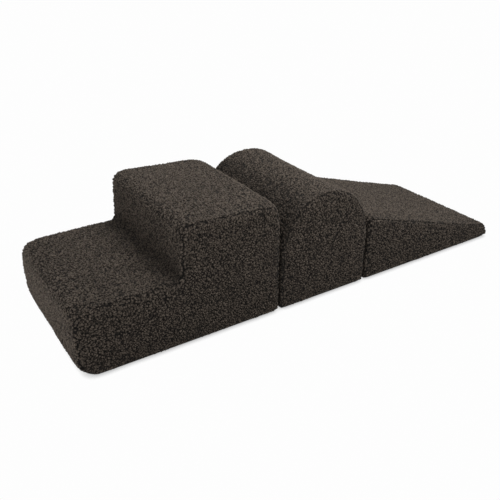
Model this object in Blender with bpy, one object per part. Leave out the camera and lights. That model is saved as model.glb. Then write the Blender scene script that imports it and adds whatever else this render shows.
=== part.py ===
"""Soft play foam climber: a step block, an arch block and a ramp block that stand in one row.

Each block is foam in a sewn cover of thick curly fabric, with a zip low on its far side. X runs
along the row from the low step to the nose of the ramp, Y runs from the near side to the far side
and Z runs up. The origin is under the middle of the row, on the floor. Lengths are in metres.
"""

import math
from collections import namedtuple

import bmesh
import bpy
from mathutils import Matrix, Vector
from mathutils.geometry import delaunay_2d_cdt

# Step block
STEPS_LENGTH = 0.592
TREAD_LENGTH = 0.286
RISER_LEAN = 0.006
LOW_HEIGHT = 0.198
HIGH_FRONT_HEIGHT = 0.352
HIGH_BACK_HEIGHT = 0.337
LOW_TOP_RADIUS = 0.026
FRONT_FOOT_RADIUS = 0.050
HIGH_FRONT_RADIUS = 0.024
HIGH_BACK_RADIUS = 0.024
TUCK_RADIUS = 0.006

# Arch block
ARCH_LENGTH = 0.3135
ARCH_SPRING = 0.1625
ARCH_RISE = 0.1725

# Ramp block
RAMP_LENGTH = 0.577
RAMP_HEAD = 0.217
RAMP_HEAD_RADIUS = 0.016
NOSE_HEIGHT = 0.046
NOSE_TOP_SHARE = 0.78
NOSE_FOOT_SHARE = 0.345

# Every block
DEPTH = 0.450
HEEL_RADIUS = 0.014
EDGE_RADIUS = 0.013
COVER = 0.009
PRESSED_COVER = 0.003
GAP = 0.0003
SIDE_CROWN = 0.003
FRONT_CROWN = 0.003
TREAD_CROWN = 0.004
MATING_CROWN = 0.003
CROWN_REACH = 0.090
CROWN_GRID = 0.036

# Zip
ZIP_END_ROOM = 0.045
ZIP_FOOT_ROOM = 0.005
TAPE_FLOOR_ROOM = 0.0045
TAPE_WIDTH = 0.013
TAPE_THICKNESS = 0.0006
TAPE_PARTING = 0.0009
COIL_WIDTH = 0.0026
COIL_THICKNESS = 0.0022
COIL_PARTING = 0.0007
STOP_LENGTH = 0.003
STOP_WALL = 0.0009
MOUTH_CLEARANCE = 0.001

# Zip slider and pull
SLIDER_LENGTH = 0.015
SLIDER_FRONT_WIDTH = 0.0124
SLIDER_REAR_WIDTH = 0.0094
SHOULDER_SHARES = (0.2, 0.45)
WING_THICKNESS = 0.0012
WING_CLEARANCE = 0.0004
FLANGE_THICKNESS = 0.001
POST_WIDTH = 0.001
POST_LENGTH = 0.005
BRIDGE_LENGTH = 0.009
BRIDGE_WIDTH = 0.0018
BRIDGE_THICKNESS = 0.0011
PULL_LENGTH = 0.026
PULL_WIDTH = 0.008
PULL_THICKNESS = 0.0013
PULL_EYE_LENGTH = 0.0046
PULL_EYE_WIDTH = 0.0034
PULL_HOLE_SHARE = 0.4
PULL_CLEARANCE = 0.0004
OVERLAP = 0.0002
OVERRUN = 0.005

# Facets
SEAM_TURN = math.radians(45)
EDGE_TURNS = [math.radians(22.5), 0.0]
SIDE_TURNS = [math.radians(67.5), math.radians(90)]
ACROSS_SHARES = [-1, -0.86, -0.62, -0.31, 0, 0.31, 0.62, 0.86, 1]
PLAIN_SHARES = [-1, 1]
SHARP_ANGLE = math.radians(40)

# Values that follow from the sizes above
HALF_DEPTH = DEPTH / 2
SEAM_SHIFT = GAP / (2 * math.sqrt(2))
BLOCK_STEP = 2 * MATING_CROWN + GAP
NOSE_TOP_RADIUS = NOSE_TOP_SHARE * NOSE_HEIGHT
NOSE_FOOT_RADIUS = NOSE_FOOT_SHARE * NOSE_HEIGHT
ROW_LENGTH = FRONT_CROWN + STEPS_LENGTH + ARCH_LENGTH + RAMP_LENGTH + 2 * BLOCK_STEP
STEPS_X = FRONT_CROWN - ROW_LENGTH / 2
ARCH_X = STEPS_X + STEPS_LENGTH + BLOCK_STEP
RAMP_X = ARCH_X + ARCH_LENGTH + BLOCK_STEP
FOAM_FACE = HALF_DEPTH - COVER - GAP
ZIP_HEIGHT = PRESSED_COVER + TAPE_FLOOR_ROOM + TAPE_WIDTH + TAPE_PARTING
TAPE_TAIL = max(PULL_LENGTH - SLIDER_LENGTH / 2 - STOP_LENGTH, 0) + MOUTH_CLEARANCE
MOUTH_HALF = max(SLIDER_FRONT_WIDTH, PULL_WIDTH) / 2 + MOUTH_CLEARANCE
COIL_FLOOR = FOAM_FACE + GAP
COIL_CREST = COIL_FLOOR + COIL_THICKNESS
UPPER_WING_FLOOR = COIL_CREST + WING_CLEARANCE
UPPER_WING_TOP = UPPER_WING_FLOOR + WING_THICKNESS
LOWER_WING_TOP = FOAM_FACE - TAPE_THICKNESS - WING_CLEARANCE
LOWER_WING_FLOOR = LOWER_WING_TOP - WING_THICKNESS
PIN_HEIGHT = UPPER_WING_TOP + PULL_CLEARANCE + PULL_THICKNESS / 2
BRIDGE_CLEAR_TOP = PIN_HEIGHT + PULL_THICKNESS / 2 + PULL_CLEARANCE

Corner = namedtuple("Corner", "x z radius steps")
Edge = namedtuple("Edge", "steps crown swell skin")
Station = namedtuple("Station", "x z nx nz crown skin")


def whole(share):
    """A crown that rises from both ends of an edge to a nearly level middle."""
    return 1 - (2 * share - 1) ** 4


def rising(share):
    return 1 - (1 - share) ** 4


def falling(share):
    return 1 - share**4


def level(share):
    return 1


def left_of(direction):
    return Vector((-direction.y, direction.x))


def quarter_oval(corner, before_normal, after_normal, radii, steps):
    """Points and normals of a quarter oval that turns a square corner, radii[0] along before_normal."""
    centre = corner - before_normal * radii[0] - after_normal * radii[1]
    for k in range(steps + 1):
        turn = math.radians(90) * k / steps
        out = before_normal * (radii[0] * math.cos(turn)) + after_normal * (radii[1] * math.sin(turn))
        normal = before_normal * (math.cos(turn) / radii[0]) + after_normal * (math.sin(turn) / radii[1])
        yield centre + out, normal.normalized()


def round_corner(corner, before, after, radius, steps):
    """Points and outward normals of the arc that turns a corner of a clockwise outline."""
    turn = -before.angle_signed(after)
    start = corner - before * (radius * math.tan(abs(turn) / 2))
    outward = 1 if turn < 0 else -1
    centre = start - left_of(before) * (radius * outward)
    for k in range(steps + 1):
        normal = Matrix.Rotation(turn * k / steps, 2) @ left_of(before)
        yield centre + normal * (radius * outward), normal


def outline(corners, edges):
    """The stations of a closed clockwise outline. Edge i runs from corner i to corner i + 1."""
    places = [Vector((c.x, c.z)) for c in corners]
    count = len(corners)
    ways = [(places[(i + 1) % count] - places[i]).normalized() for i in range(count)]
    arcs = []
    for i, corner in enumerate(corners):
        if isinstance(corner.radius, tuple):
            normals = left_of(ways[i - 1]), left_of(ways[i])
            arcs.append(list(quarter_oval(places[i], *normals, corner.radius, corner.steps)))
        else:
            arcs.append(list(round_corner(places[i], ways[i - 1], ways[i], corner.radius, corner.steps)))
    runs = []
    for i in range(count):
        skins = edges[i - 1].skin, edges[i].skin
        ends = edges[i - 1].swell(1) * edges[i - 1].crown, edges[i].swell(0) * edges[i].crown
        turn = []
        for k, (point, normal) in enumerate(arcs[i]):
            share = k / corners[i].steps
            skin = skins[0] + (skins[1] - skins[0]) * share
            crown = ends[0] + (ends[1] - ends[0]) * share
            turn.append(Station(*point, *normal, crown, skin))
        edge = edges[i]
        start, end = arcs[i][-1][0], arcs[(i + 1) % count][0][0]
        straight = []
        for k in range(1, edge.steps):
            share = k / edge.steps
            point = start.lerp(end, share)
            straight.append(Station(*point, *left_of(ways[i]), edge.crown * edge.swell(share), edge.skin))
        runs.append((turn, straight))
    return runs


def joined(runs):
    return [station for turn, straight in runs for station in turn + straight]


def halves(turn):
    """A turn's stations up to its middle one, and from that one on."""
    middle = len(turn) // 2
    return turn[: middle + 1], turn[middle:]


def shifted(station, along, inset):
    """A point of the outline moved along the outline and inwards."""
    x = station.x + station.nz * along - station.nx * inset
    z = station.z - station.nx * along - station.nz * inset
    return x, z


def material(name, colour, roughness, metallic=0.0):
    made = bpy.data.materials.new(name)
    made.use_nodes = True
    shader = made.node_tree.nodes["Principled BSDF"]
    shader.inputs["Base Color"].default_value = (*colour, 1.0)
    shader.inputs["Roughness"].default_value = roughness
    shader.inputs["Metallic"].default_value = metallic
    return made


def mesh_from(name, bm):
    bmesh.ops.recalc_face_normals(bm, faces=bm.faces)
    mesh = bpy.data.meshes.new(name)
    bm.to_mesh(mesh)
    bm.free()
    return mesh


def placed(name, mesh, finish, parent=None, location=(0, 0, 0), smooth=True):
    piece = bpy.data.objects.new(name, mesh)
    bpy.context.scene.collection.objects.link(piece)
    piece.location = location
    piece.parent = parent
    if finish is not None and not mesh.materials:
        mesh.materials.append(finish)
    if smooth:
        mesh.shade_smooth()
        mesh.set_sharp_from_angle(angle=SHARP_ANGLE)
    return piece


def bridge_loops(bm, loops):
    """Quads between each closed loop of vertices and the next."""
    for first, second in zip(loops, loops[1:]):
        for k in range(len(first)):
            j = (k + 1) % len(first)
            bm.faces.new((first[k], first[j], second[j], second[k]))


def mitre_band(bm, inner, seam):
    """Triangles of a mitre, split the same way on the strip and on the side so that they stay apart."""
    for k in range(len(inner) - 1):
        bm.faces.new((inner[k], inner[k + 1], seam[k + 1]))
        bm.faces.new((inner[k], seam[k + 1], seam[k]))


def prism(outline_points, low, high):
    """A mesh of an XZ outline that runs from low to high along Y."""
    bm = bmesh.new()
    loops = [[bm.verts.new((x, y, z)) for x, z in outline_points] for y in (low, high)]
    bridge_loops(bm, loops)
    bm.faces.new(loops[0])
    bm.faces.new(reversed(loops[1]))
    return bm


def block(low, high):
    """A mesh of a plain box between two corners."""
    corners = [(low[0], low[2]), (low[0], high[2]), (high[0], high[2]), (high[0], low[2])]
    return prism(corners, low[1], high[1])


def helper(name, bm, parent=None):
    """An object that only shapes another one."""
    tool = placed(name, mesh_from(name, bm), None, parent, smooth=False)
    tool.hide_render = True
    tool.display_type = "WIRE"
    return tool


def shape_with(piece, tool, operation):
    change = piece.modifiers.new(tool.name, "BOOLEAN")
    change.operation = operation
    change.solver = "EXACT"
    change.object = tool


def fused(name, solids, cuts=()):
    """One mesh from overlapping solids, less the cuts."""
    first = placed(name + "_former", mesh_from(name, solids[0]), None, smooth=False)
    tools = []
    for operation, group in (("UNION", solids[1:]), ("DIFFERENCE", cuts)):
        for k, bm in enumerate(group):
            tools.append(helper(f"{name}_{operation.lower()}_{k}", bm))
            shape_with(first, tools[-1], operation)
    bpy.context.view_layer.update()
    settled = first.evaluated_get(bpy.context.evaluated_depsgraph_get())
    mesh = bpy.data.meshes.new_from_object(settled)
    for piece in [first, *tools]:
        bpy.data.objects.remove(piece)
    return mesh


def edge_offset(turn):
    """How far a point of the rounded side edge lies in from the side and in from the outline."""
    return EDGE_RADIUS * (1 - math.sin(turn)), EDGE_RADIUS * (1 - math.cos(turn))


def distance_to(loop, point):
    """The shortest distance from a point to a closed loop of points."""
    nearest = math.inf
    for start, end in zip(loop, loop[1:] + loop[:1]):
        along = end - start
        share = max(0, min(1, (point - start).dot(along) / along.length_squared))
        nearest = min(nearest, (point - start - along * share).length)
    return nearest


def inside(loop, point):
    crossings = 0
    for start, end in zip(loop, loop[1:] + loop[:1]):
        if (start.y > point.y) != (end.y > point.y):
            cross_x = start.x + (point.y - start.y) * (end.x - start.x) / (end.y - start.y)
            crossings += cross_x > point.x
    return crossings % 2 == 1


def crowned_face(bm, rim, side):
    """Fills a side's rim with a face that swells towards its middle."""
    loop = [Vector((v.co.x, v.co.z)) for v in rim]
    inner = []
    columns = math.ceil(max(p.x for p in loop) / CROWN_GRID)
    rows = math.ceil(max(p.y for p in loop) / CROWN_GRID)
    for row in range(rows):
        for column in range(columns):
            stagger = 0.5 * (row % 2)
            point = Vector(((column + stagger) * CROWN_GRID, (row + 0.5) * CROWN_GRID))
            if inside(loop, point) and distance_to(loop, point) > CROWN_GRID / 3:
                inner.append(point)
    rim_edges = [(k, (k + 1) % len(loop)) for k in range(len(loop))]
    keep_inside = 1
    filled = delaunay_2d_cdt(loop + inner, rim_edges, [], keep_inside, GAP / 10)
    verts = list(rim)
    for point in inner:
        share = max(0, 1 - distance_to(loop, point) / CROWN_REACH)
        swell = SIDE_CROWN * (1 - share**4)
        verts.append(bm.verts.new((point.x, side * (HALF_DEPTH + swell), point.y)))
    for corners in filled[2]:
        bm.faces.new([verts[k] for k in corners])


def side_panel(name, stations, side, finish, parent):
    """A side of a cover: a crowned face, its turned edge and the mitre that meets the strips."""
    bm = bmesh.new()

    def loop(depth, insets):
        y = side * (HALF_DEPTH - depth)
        points = [shifted(s, 0, inset) for s, inset in zip(stations, insets)]
        return [bm.verts.new((x, y, z)) for x, z in points]

    seam_depth, seam_inset = edge_offset(SEAM_TURN)
    loops = [loop(COVER - SEAM_SHIFT, [s.skin + SEAM_SHIFT for s in stations])]
    loops.append(loop(seam_depth - SEAM_SHIFT, [seam_inset + SEAM_SHIFT] * len(stations)))
    for turn in SIDE_TURNS:
        depth, inset = edge_offset(turn)
        loops.append(loop(depth, [inset] * len(stations)))
    mitre_band(bm, loops[0] + loops[0][:1], loops[1] + loops[1][:1])
    bridge_loops(bm, loops[1:])
    bm.faces.new(loops[0])
    crowned_face(bm, loops[-1], side)
    return placed(name, mesh_from(name, bm), finish, parent)


def strip(name, stations, finish, parent, shares=ACROSS_SHARES):
    """A strip of a cover that follows the outline from side to side, crowned across."""
    seam_depth, seam_inset = edge_offset(SEAM_TURN)
    across = [(HALF_DEPTH - seam_depth - SEAM_SHIFT, seam_inset - SEAM_SHIFT)]
    across += [(HALF_DEPTH - edge_offset(turn)[0], edge_offset(turn)[1]) for turn in EDGE_TURNS[:-1]]
    flat_half = HALF_DEPTH - EDGE_RADIUS
    profile = [(-y, inset, 0) for y, inset in across]
    profile += [(share * flat_half, 0, 1 - share**4) for share in shares]
    profile += [(y, inset, 0) for y, inset in reversed(across)]
    inner_half = HALF_DEPTH - COVER - SEAM_SHIFT
    bm = bmesh.new()
    rings = []
    for k, station in enumerate(stations):
        along = GAP / 2 if k == 0 else -GAP / 2 if k == len(stations) - 1 else 0
        ring = []
        for y, inset, swell in profile:
            x, z = shifted(station, along, inset - station.crown * swell)
            ring.append(bm.verts.new((x, y, z)))
        x, z = shifted(station, along, station.skin - SEAM_SHIFT)
        ring += [bm.verts.new((x, inner_half, z)), bm.verts.new((x, -inner_half, z))]
        rings.append(ring)
    around = [[ring[k] for ring in rings] for k in range(len(rings[0]))]
    near_seam, far_seam, far_inner, near_inner = around[0], around[-3], around[-2], around[-1]
    for first, second in zip(around[:-3], around[1:-2]):
        for k in range(len(stations) - 1):
            bm.faces.new((first[k], first[k + 1], second[k + 1], second[k]))
    for k in range(len(stations) - 1):
        bm.faces.new((far_inner[k], far_inner[k + 1], near_inner[k + 1], near_inner[k]))
    mitre_band(bm, far_inner, far_seam)
    mitre_band(bm, near_inner, near_seam)
    bm.faces.new(rings[0])
    bm.faces.new(reversed(rings[-1]))
    return placed(name, mesh_from(name, bm), finish, parent)


def foam_points(stations):
    return [shifted(s, 0, s.skin + GAP) for s in stations]


def foam(name, points, finish, parent):
    return placed(name, mesh_from(name, prism(points, -FOAM_FACE, FOAM_FACE)), finish, parent)


def wing_points():
    """The outline of a slider's wing in X and Z: broad in front, at low X, and narrow behind."""
    front, rear = -SLIDER_LENGTH / 2, SLIDER_LENGTH / 2
    broad, slim = SLIDER_FRONT_WIDTH / 2, SLIDER_REAR_WIDTH / 2
    chamfer = FLANGE_THICKNESS
    shoulder_start, shoulder_end = [front + share * SLIDER_LENGTH for share in SHOULDER_SHARES]
    half = [
        (front, broad - 2 * chamfer),
        (front + chamfer, broad),
        (shoulder_start, broad),
        (shoulder_end, slim),
        (rear - chamfer, slim),
        (rear, slim - chamfer),
    ]
    return half + [(x, -z) for x, z in reversed(half)]


def flange_points(side):
    """The outline of one flange, which follows the wing's edge beside the coil."""
    outer = [(x, z) for x, z in wing_points() if z > 0][1:-1]
    inner = [(x, z - FLANGE_THICKNESS) for x, z in reversed(outer)]
    points = outer + inner
    return points if side > 0 else [(x, -z) for x, z in reversed(points)]


def bridge_outline():
    """The side view of the bridge over the upper wing, in X and Y."""
    half = BRIDGE_LENGTH / 2
    foot = UPPER_WING_TOP - OVERLAP
    top = BRIDGE_CLEAR_TOP + BRIDGE_THICKNESS
    lean = BRIDGE_THICKNESS
    outer = [(-half, foot), (-half, PIN_HEIGHT), (-half + lean, top), (half - lean, top)]
    outer += [(half, PIN_HEIGHT), (half, foot)]
    bore = half - BRIDGE_THICKNESS
    inner = [(bore, foot), (bore, PIN_HEIGHT), (bore - lean / 2, BRIDGE_CLEAR_TOP)]
    inner += [(lean / 2 - bore, BRIDGE_CLEAR_TOP), (-bore, PIN_HEIGHT), (-bore, foot)]
    return outer + inner


def along_z(outline_points, low, high):
    """A mesh of an XY outline that runs from low to high along Z."""
    bm = bmesh.new()
    loops = [[bm.verts.new((x, y, z)) for x, y in outline_points] for z in (low, high)]
    bridge_loops(bm, loops)
    bm.faces.new(loops[0])
    bm.faces.new(reversed(loops[1]))
    return bm


def slider_mesh():
    """Two wings joined by the post that parts the coils, flanges round the coils and the bridge."""
    post_front = -SLIDER_LENGTH / 2 + FLANGE_THICKNESS
    post_half = POST_WIDTH / 2
    post = [
        (post_front, -post_half),
        (post_front, post_half),
        (post_front + POST_LENGTH / 2, post_half),
        (post_front + POST_LENGTH, 0),
        (post_front + POST_LENGTH / 2, -post_half),
    ]
    solids = [
        prism(wing_points(), UPPER_WING_FLOOR, UPPER_WING_TOP),
        prism(wing_points(), LOWER_WING_FLOOR, LOWER_WING_TOP),
        prism(post, LOWER_WING_TOP - OVERLAP, UPPER_WING_FLOOR + OVERLAP),
        prism(flange_points(1), FOAM_FACE + WING_CLEARANCE, UPPER_WING_FLOOR + OVERLAP),
        prism(flange_points(-1), FOAM_FACE + WING_CLEARANCE, UPPER_WING_FLOOR + OVERLAP),
        along_z(bridge_outline(), -BRIDGE_WIDTH / 2, BRIDGE_WIDTH / 2),
    ]
    joined_up = [solids[2], solids[0], solids[1], *solids[3:]]
    return fused("zip_slider", joined_up)


def pull_mesh():
    """A flat tab with an eye round the bridge. Its origin is the middle of the bar in the eye."""
    half = PULL_WIDTH / 2
    neck = (PULL_EYE_WIDTH + 2 * PULL_THICKNESS) / 2
    bar = PULL_THICKNESS / 2
    eye_end = bar + PULL_EYE_LENGTH
    blade = eye_end + PULL_WIDTH / 2
    tip = PULL_LENGTH - bar
    points = [(-bar, -neck), (-bar, neck), (eye_end, neck), (blade, half)]
    tip_steps = 8
    for k in range(tip_steps + 1):
        turn = math.radians(90 - 180 * k / tip_steps)
        points.append((tip - half + half * math.cos(turn), half * math.sin(turn)))
    points += [(blade, -half), (eye_end, -neck)]
    plate = prism(points, -bar, bar)
    eye = block((bar, -PULL_THICKNESS, -PULL_EYE_WIDTH / 2), (eye_end, PULL_THICKNESS, PULL_EYE_WIDTH / 2))
    hole_radius = PULL_HOLE_SHARE * half
    hole_steps = 12
    hole_turns = [2 * math.pi * k / hole_steps for k in range(hole_steps)]
    hole_x = tip - half
    hole = [(hole_x + hole_radius * math.cos(a), hole_radius * math.sin(a)) for a in hole_turns]
    return fused("zip_pull", [plate], [eye, prism(hole, -PULL_THICKNESS, PULL_THICKNESS)])


def coil_points(side):
    """The section of a coil row in Z and Y: level on its tape and rounded above."""
    near, far = COIL_PARTING, COIL_PARTING + COIL_WIDTH
    middle, half = (near + far) / 2, COIL_WIDTH / 2
    points = [(near, COIL_FLOOR), (near, COIL_FLOOR + COIL_THICKNESS / 2)]
    crest_steps = 4
    for k in range(1, crest_steps):
        turn = math.pi * (1 - k / crest_steps)
        rise = COIL_THICKNESS / 2 * (1 + math.sin(turn))
        points.append((middle + half * math.cos(turn), COIL_FLOOR + rise))
    points += [(far, COIL_FLOOR + COIL_THICKNESS / 2), (far, COIL_FLOOR)]
    return [(side * z, y) for z, y in points]


def bar_along_x(section, low, high):
    """A mesh of a ZY section, set at the zip's height, that runs from low to high along X."""
    bm = bmesh.new()
    loops = [[bm.verts.new((x, y, ZIP_HEIGHT + z)) for z, y in section] for x in (low, high)]
    bridge_loops(bm, loops)
    bm.faces.new(loops[0])
    bm.faces.new(reversed(loops[1]))
    return bm


def stop_section():
    """The section of an end stop, a clamp over both coil rows, in Z and Y."""
    bore = COIL_PARTING + COIL_WIDTH + GAP
    outer = bore + STOP_WALL
    bore_top = COIL_CREST + GAP
    top = bore_top + STOP_WALL
    lean = STOP_WALL / 2
    return [
        (-outer, COIL_FLOOR),
        (-outer, top - lean),
        (-outer + lean, top),
        (outer - lean, top),
        (outer, top - lean),
        (outer, COIL_FLOOR),
        (bore, COIL_FLOOR),
        (bore, bore_top),
        (-bore, bore_top),
        (-bore, COIL_FLOOR),
    ]


def zip_mouth(block_name, parent, low, high, side, base, foam_core):
    """Opens the far side panel for the zip, turns the base up to it and lets the foam clear it."""
    hem, upstand_top = ZIP_HEIGHT + MOUTH_HALF, ZIP_HEIGHT - MOUTH_HALF
    upstand_face = FOAM_FACE + GAP + PRESSED_COVER
    beyond = HALF_DEPTH + SIDE_CROWN + OVERRUN
    opening = block((low, FOAM_FACE - OVERRUN, -OVERRUN), (high, beyond, hem))
    shape_with(side, helper(block_name + "_mouth", opening, parent), "DIFFERENCE")
    toe = block((low, upstand_face, -OVERRUN), (high, beyond, hem))
    shape_with(base, helper(block_name + "_toe", toe, parent), "DIFFERENCE")
    upstand = block((low + GAP, FOAM_FACE + GAP, OVERLAP), (high - GAP, upstand_face - GAP / 2, upstand_top))
    shape_with(base, helper(block_name + "_upstand", upstand, parent), "UNION")
    reach = TAPE_PARTING + TAPE_WIDTH + GAP
    seat_floor = FOAM_FACE - TAPE_THICKNESS - GAP
    seat = block(
        (low - GAP, seat_floor, ZIP_HEIGHT - reach), (high + GAP, FOAM_FACE + OVERRUN, ZIP_HEIGHT + reach)
    )
    shape_with(foam_core, helper(block_name + "_tape_seat", seat, parent), "DIFFERENCE")
    channel_floor = LOWER_WING_FLOOR - WING_CLEARANCE
    channel = block(
        (low - GAP, channel_floor, ZIP_HEIGHT - MOUTH_HALF),
        (high + GAP, FOAM_FACE + OVERRUN, ZIP_HEIGHT + MOUTH_HALF),
    )
    shape_with(foam_core, helper(block_name + "_slider_channel", channel, parent), "DIFFERENCE")


def zip_fastener(block_name, parent, low, high, meshes, finishes):
    """The zip in a mouth from low to high. The tapes run on past the stops, so that the pull, which
    lies either way along the coils, stays in the mouth at both ends of the slider's travel.
    """
    first, last = low + TAPE_TAIL, high - TAPE_TAIL
    for level_name, side in (("upper", 1), ("lower", -1)):
        edges = sorted((side * TAPE_PARTING, side * (TAPE_PARTING + TAPE_WIDTH)))
        tape = block(
            (low, FOAM_FACE - TAPE_THICKNESS, ZIP_HEIGHT + edges[0]), (high, FOAM_FACE, ZIP_HEIGHT + edges[1])
        )
        name = f"{block_name}_zip_{level_name}_tape"
        placed(name, mesh_from(name, tape), finishes["tape"], parent, smooth=False)
        name = f"{block_name}_zip_{level_name}_coil"
        coil = bar_along_x(coil_points(side), first, last)
        placed(name, mesh_from(name, coil), finishes["coil"], parent)
    for end_name, start in (("start", first), ("end", last - STOP_LENGTH)):
        name = f"{block_name}_zip_{end_name}_stop"
        stop = bar_along_x(stop_section(), start, start + STOP_LENGTH)
        placed(name, mesh_from(name, stop), finishes["metal"], parent, smooth=False)
    rest = first + STOP_LENGTH + GAP + SLIDER_LENGTH / 2
    slider = placed(
        f"{block_name}_zip_slider", meshes["slider"], finishes["metal"], parent, (rest, 0, ZIP_HEIGHT)
    )
    pull_place = (0, PIN_HEIGHT, 0)
    placed(f"{block_name}_zip_pull", meshes["pull"], finishes["metal"], slider, pull_place)


def block_place(name, x):
    place = bpy.data.objects.new(name + "_place", None)
    place.location = (x, 0, 0)
    bpy.context.scene.collection.objects.link(place)
    return place


def sides_and_base(block_name, runs, finishes, parent):
    """Both side panels and the base panel. The outline's last edge is its bottom."""
    stations = joined(runs)
    side_panel(block_name + "_near_side_panel", stations, -1, finishes["fabric"], parent)
    far_side = side_panel(block_name + "_far_side_panel", stations, 1, finishes["fabric"], parent)
    bottom = [runs[-1][0][-1], *runs[-1][1], runs[0][0][0]]
    base = strip(block_name + "_base_panel", bottom, finishes["base"], parent, PLAIN_SHARES)
    return far_side, base


def step_block(finishes, meshes):
    place = block_place("steps", STEPS_X)
    corners = [
        Corner(0, 0, FRONT_FOOT_RADIUS, 8),
        Corner(0, LOW_HEIGHT, LOW_TOP_RADIUS, 7),
        Corner(TREAD_LENGTH, LOW_HEIGHT, TUCK_RADIUS, 4),
        Corner(TREAD_LENGTH + RISER_LEAN, HIGH_FRONT_HEIGHT, HIGH_FRONT_RADIUS, 7),
        Corner(STEPS_LENGTH, HIGH_BACK_HEIGHT, HIGH_BACK_RADIUS, 6),
        Corner(STEPS_LENGTH, 0, HEEL_RADIUS, 3),
    ]
    edges = [
        Edge(4, FRONT_CROWN, whole, COVER),
        Edge(6, TREAD_CROWN, whole, COVER),
        Edge(4, FRONT_CROWN, whole, COVER),
        Edge(6, TREAD_CROWN, whole, COVER),
        Edge(7, MATING_CROWN, whole, COVER),
        Edge(6, 0, level, PRESSED_COVER),
    ]
    runs = outline(corners, edges)
    foot, low_top, tuck, high_front, high_back, heel = runs
    tuck_low, tuck_high = halves(tuck[0])
    front = foot[0] + foot[1] + low_top[0] + low_top[1] + tuck_low
    rear = tuck_high + tuck[1] + high_front[0] + high_front[1] + high_back[0] + high_back[1] + heel[0]
    strip("steps_front_strip", front, finishes["fabric"], place)
    strip("steps_rear_strip", rear, finishes["fabric"], place)
    far_side, base = sides_and_base("steps", runs, finishes, place)

    inset = COVER + GAP
    bond = LOW_HEIGHT - inset
    back = STEPS_LENGTH - inset
    slab = foam_points(foot[0] + foot[1] + low_top[0] + low_top[1])
    slab += [(back, bond)]
    slab += [p for p in foam_points(high_back[1]) if p[1] < bond - OVERRUN]
    slab += foam_points(heel[0])
    lower = foam("steps_lower_foam", slab, finishes["foam"], place)
    upper = [(TREAD_LENGTH + inset, bond + GAP)]
    upper += foam_points(tuck[1] + high_front[0] + high_front[1] + high_back[0])
    upper += [p for p in foam_points(high_back[1]) if p[1] > bond + OVERRUN]
    upper += [(back, bond + GAP)]
    foam("steps_upper_foam", upper, finishes["foam"], place)
    low, high = max(ZIP_END_ROOM, FRONT_FOOT_RADIUS + ZIP_FOOT_ROOM), STEPS_LENGTH - ZIP_END_ROOM
    zip_mouth("steps", place, low, high, far_side, base, lower)
    zip_fastener("steps", place, low, high, meshes, finishes)


def arch_block(finishes, meshes):
    place = block_place("arch", ARCH_X)
    apex = ARCH_SPRING + ARCH_RISE
    half = ARCH_LENGTH / 2
    corners = [
        Corner(0, 0, HEEL_RADIUS, 3),
        Corner(0, apex, (half, ARCH_RISE), 14),
        Corner(ARCH_LENGTH, apex, (ARCH_RISE, half), 14),
        Corner(ARCH_LENGTH, 0, HEEL_RADIUS, 3),
    ]
    edges = [
        Edge(5, MATING_CROWN, rising, COVER),
        Edge(1, MATING_CROWN, level, COVER),
        Edge(5, MATING_CROWN, falling, COVER),
        Edge(4, 0, level, PRESSED_COVER),
    ]
    runs = outline(corners, edges)
    apex_once = runs[2][0][1:]
    runs[2] = (apex_once, runs[2][1])
    over = runs[0][0] + runs[0][1] + runs[1][0] + apex_once + runs[2][1] + runs[3][0]
    strip("arch_top_strip", over, finishes["fabric"], place)
    far_side, base = sides_and_base("arch", runs, finishes, place)
    core = foam("arch_foam", foam_points(over), finishes["foam"], place)
    low, high = ZIP_END_ROOM, ARCH_LENGTH - ZIP_END_ROOM
    zip_mouth("arch", place, low, high, far_side, base, core)
    zip_fastener("arch", place, low, high, meshes, finishes)


def ramp_block(finishes, meshes):
    place = block_place("ramp", RAMP_X)
    corners = [
        Corner(0, 0, HEEL_RADIUS, 3),
        Corner(0, RAMP_HEAD, RAMP_HEAD_RADIUS, 4),
        Corner(RAMP_LENGTH, NOSE_HEIGHT, NOSE_TOP_RADIUS, 8),
        Corner(RAMP_LENGTH, 0, NOSE_FOOT_RADIUS, 5),
    ]
    edges = [
        Edge(5, MATING_CROWN, whole, COVER),
        Edge(11, TREAD_CROWN, whole, COVER),
        Edge(1, 0, level, COVER),
        Edge(7, 0, level, PRESSED_COVER),
    ]
    runs = outline(corners, edges)
    over = [s for turn, straight in runs[:3] for s in turn + straight] + runs[3][0]
    strip("ramp_top_strip", over, finishes["fabric"], place)
    far_side, base = sides_and_base("ramp", runs, finishes, place)
    core = foam("ramp_foam", foam_points(over), finishes["foam"], place)
    low, high = ZIP_END_ROOM, RAMP_LENGTH - 2 * ZIP_END_ROOM
    zip_mouth("ramp", place, low, high, far_side, base, core)
    zip_fastener("ramp", place, low, high, meshes, finishes)


def main():
    for piece in list(bpy.data.objects):
        bpy.data.objects.remove(piece)
    finishes = {
        "fabric": material("boucle_fabric", (0.060, 0.050, 0.042), 0.95),
        "base": material("base_fabric", (0.020, 0.019, 0.018), 0.80),
        "foam": material("foam", (0.78, 0.74, 0.62), 0.90),
        "tape": material("zip_tape", (0.028, 0.024, 0.021), 0.75),
        "coil": material("zip_coil", (0.022, 0.020, 0.018), 0.40),
        "metal": material("zip_metal", (0.10, 0.095, 0.09), 0.35, 1.0),
    }
    meshes = {"slider": slider_mesh(), "pull": pull_mesh()}
    step_block(finishes, meshes)
    arch_block(finishes, meshes)
    ramp_block(finishes, meshes)


main()
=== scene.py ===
"""Looks of the soft play foam climber: curly covers, woven bases, zips, floor, light and camera.

Each block's cover is one closed form. It swells as a cloth simulation of a coarser copy says, is
subdivided, gets a curly pile in its mesh and is then split into its sewn panels. Lengths are in
metres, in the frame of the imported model.
"""

import math
from functools import cached_property

import bmesh
import bpy
import numpy as np
from mathutils import Matrix, Vector, geometry, kdtree


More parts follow.
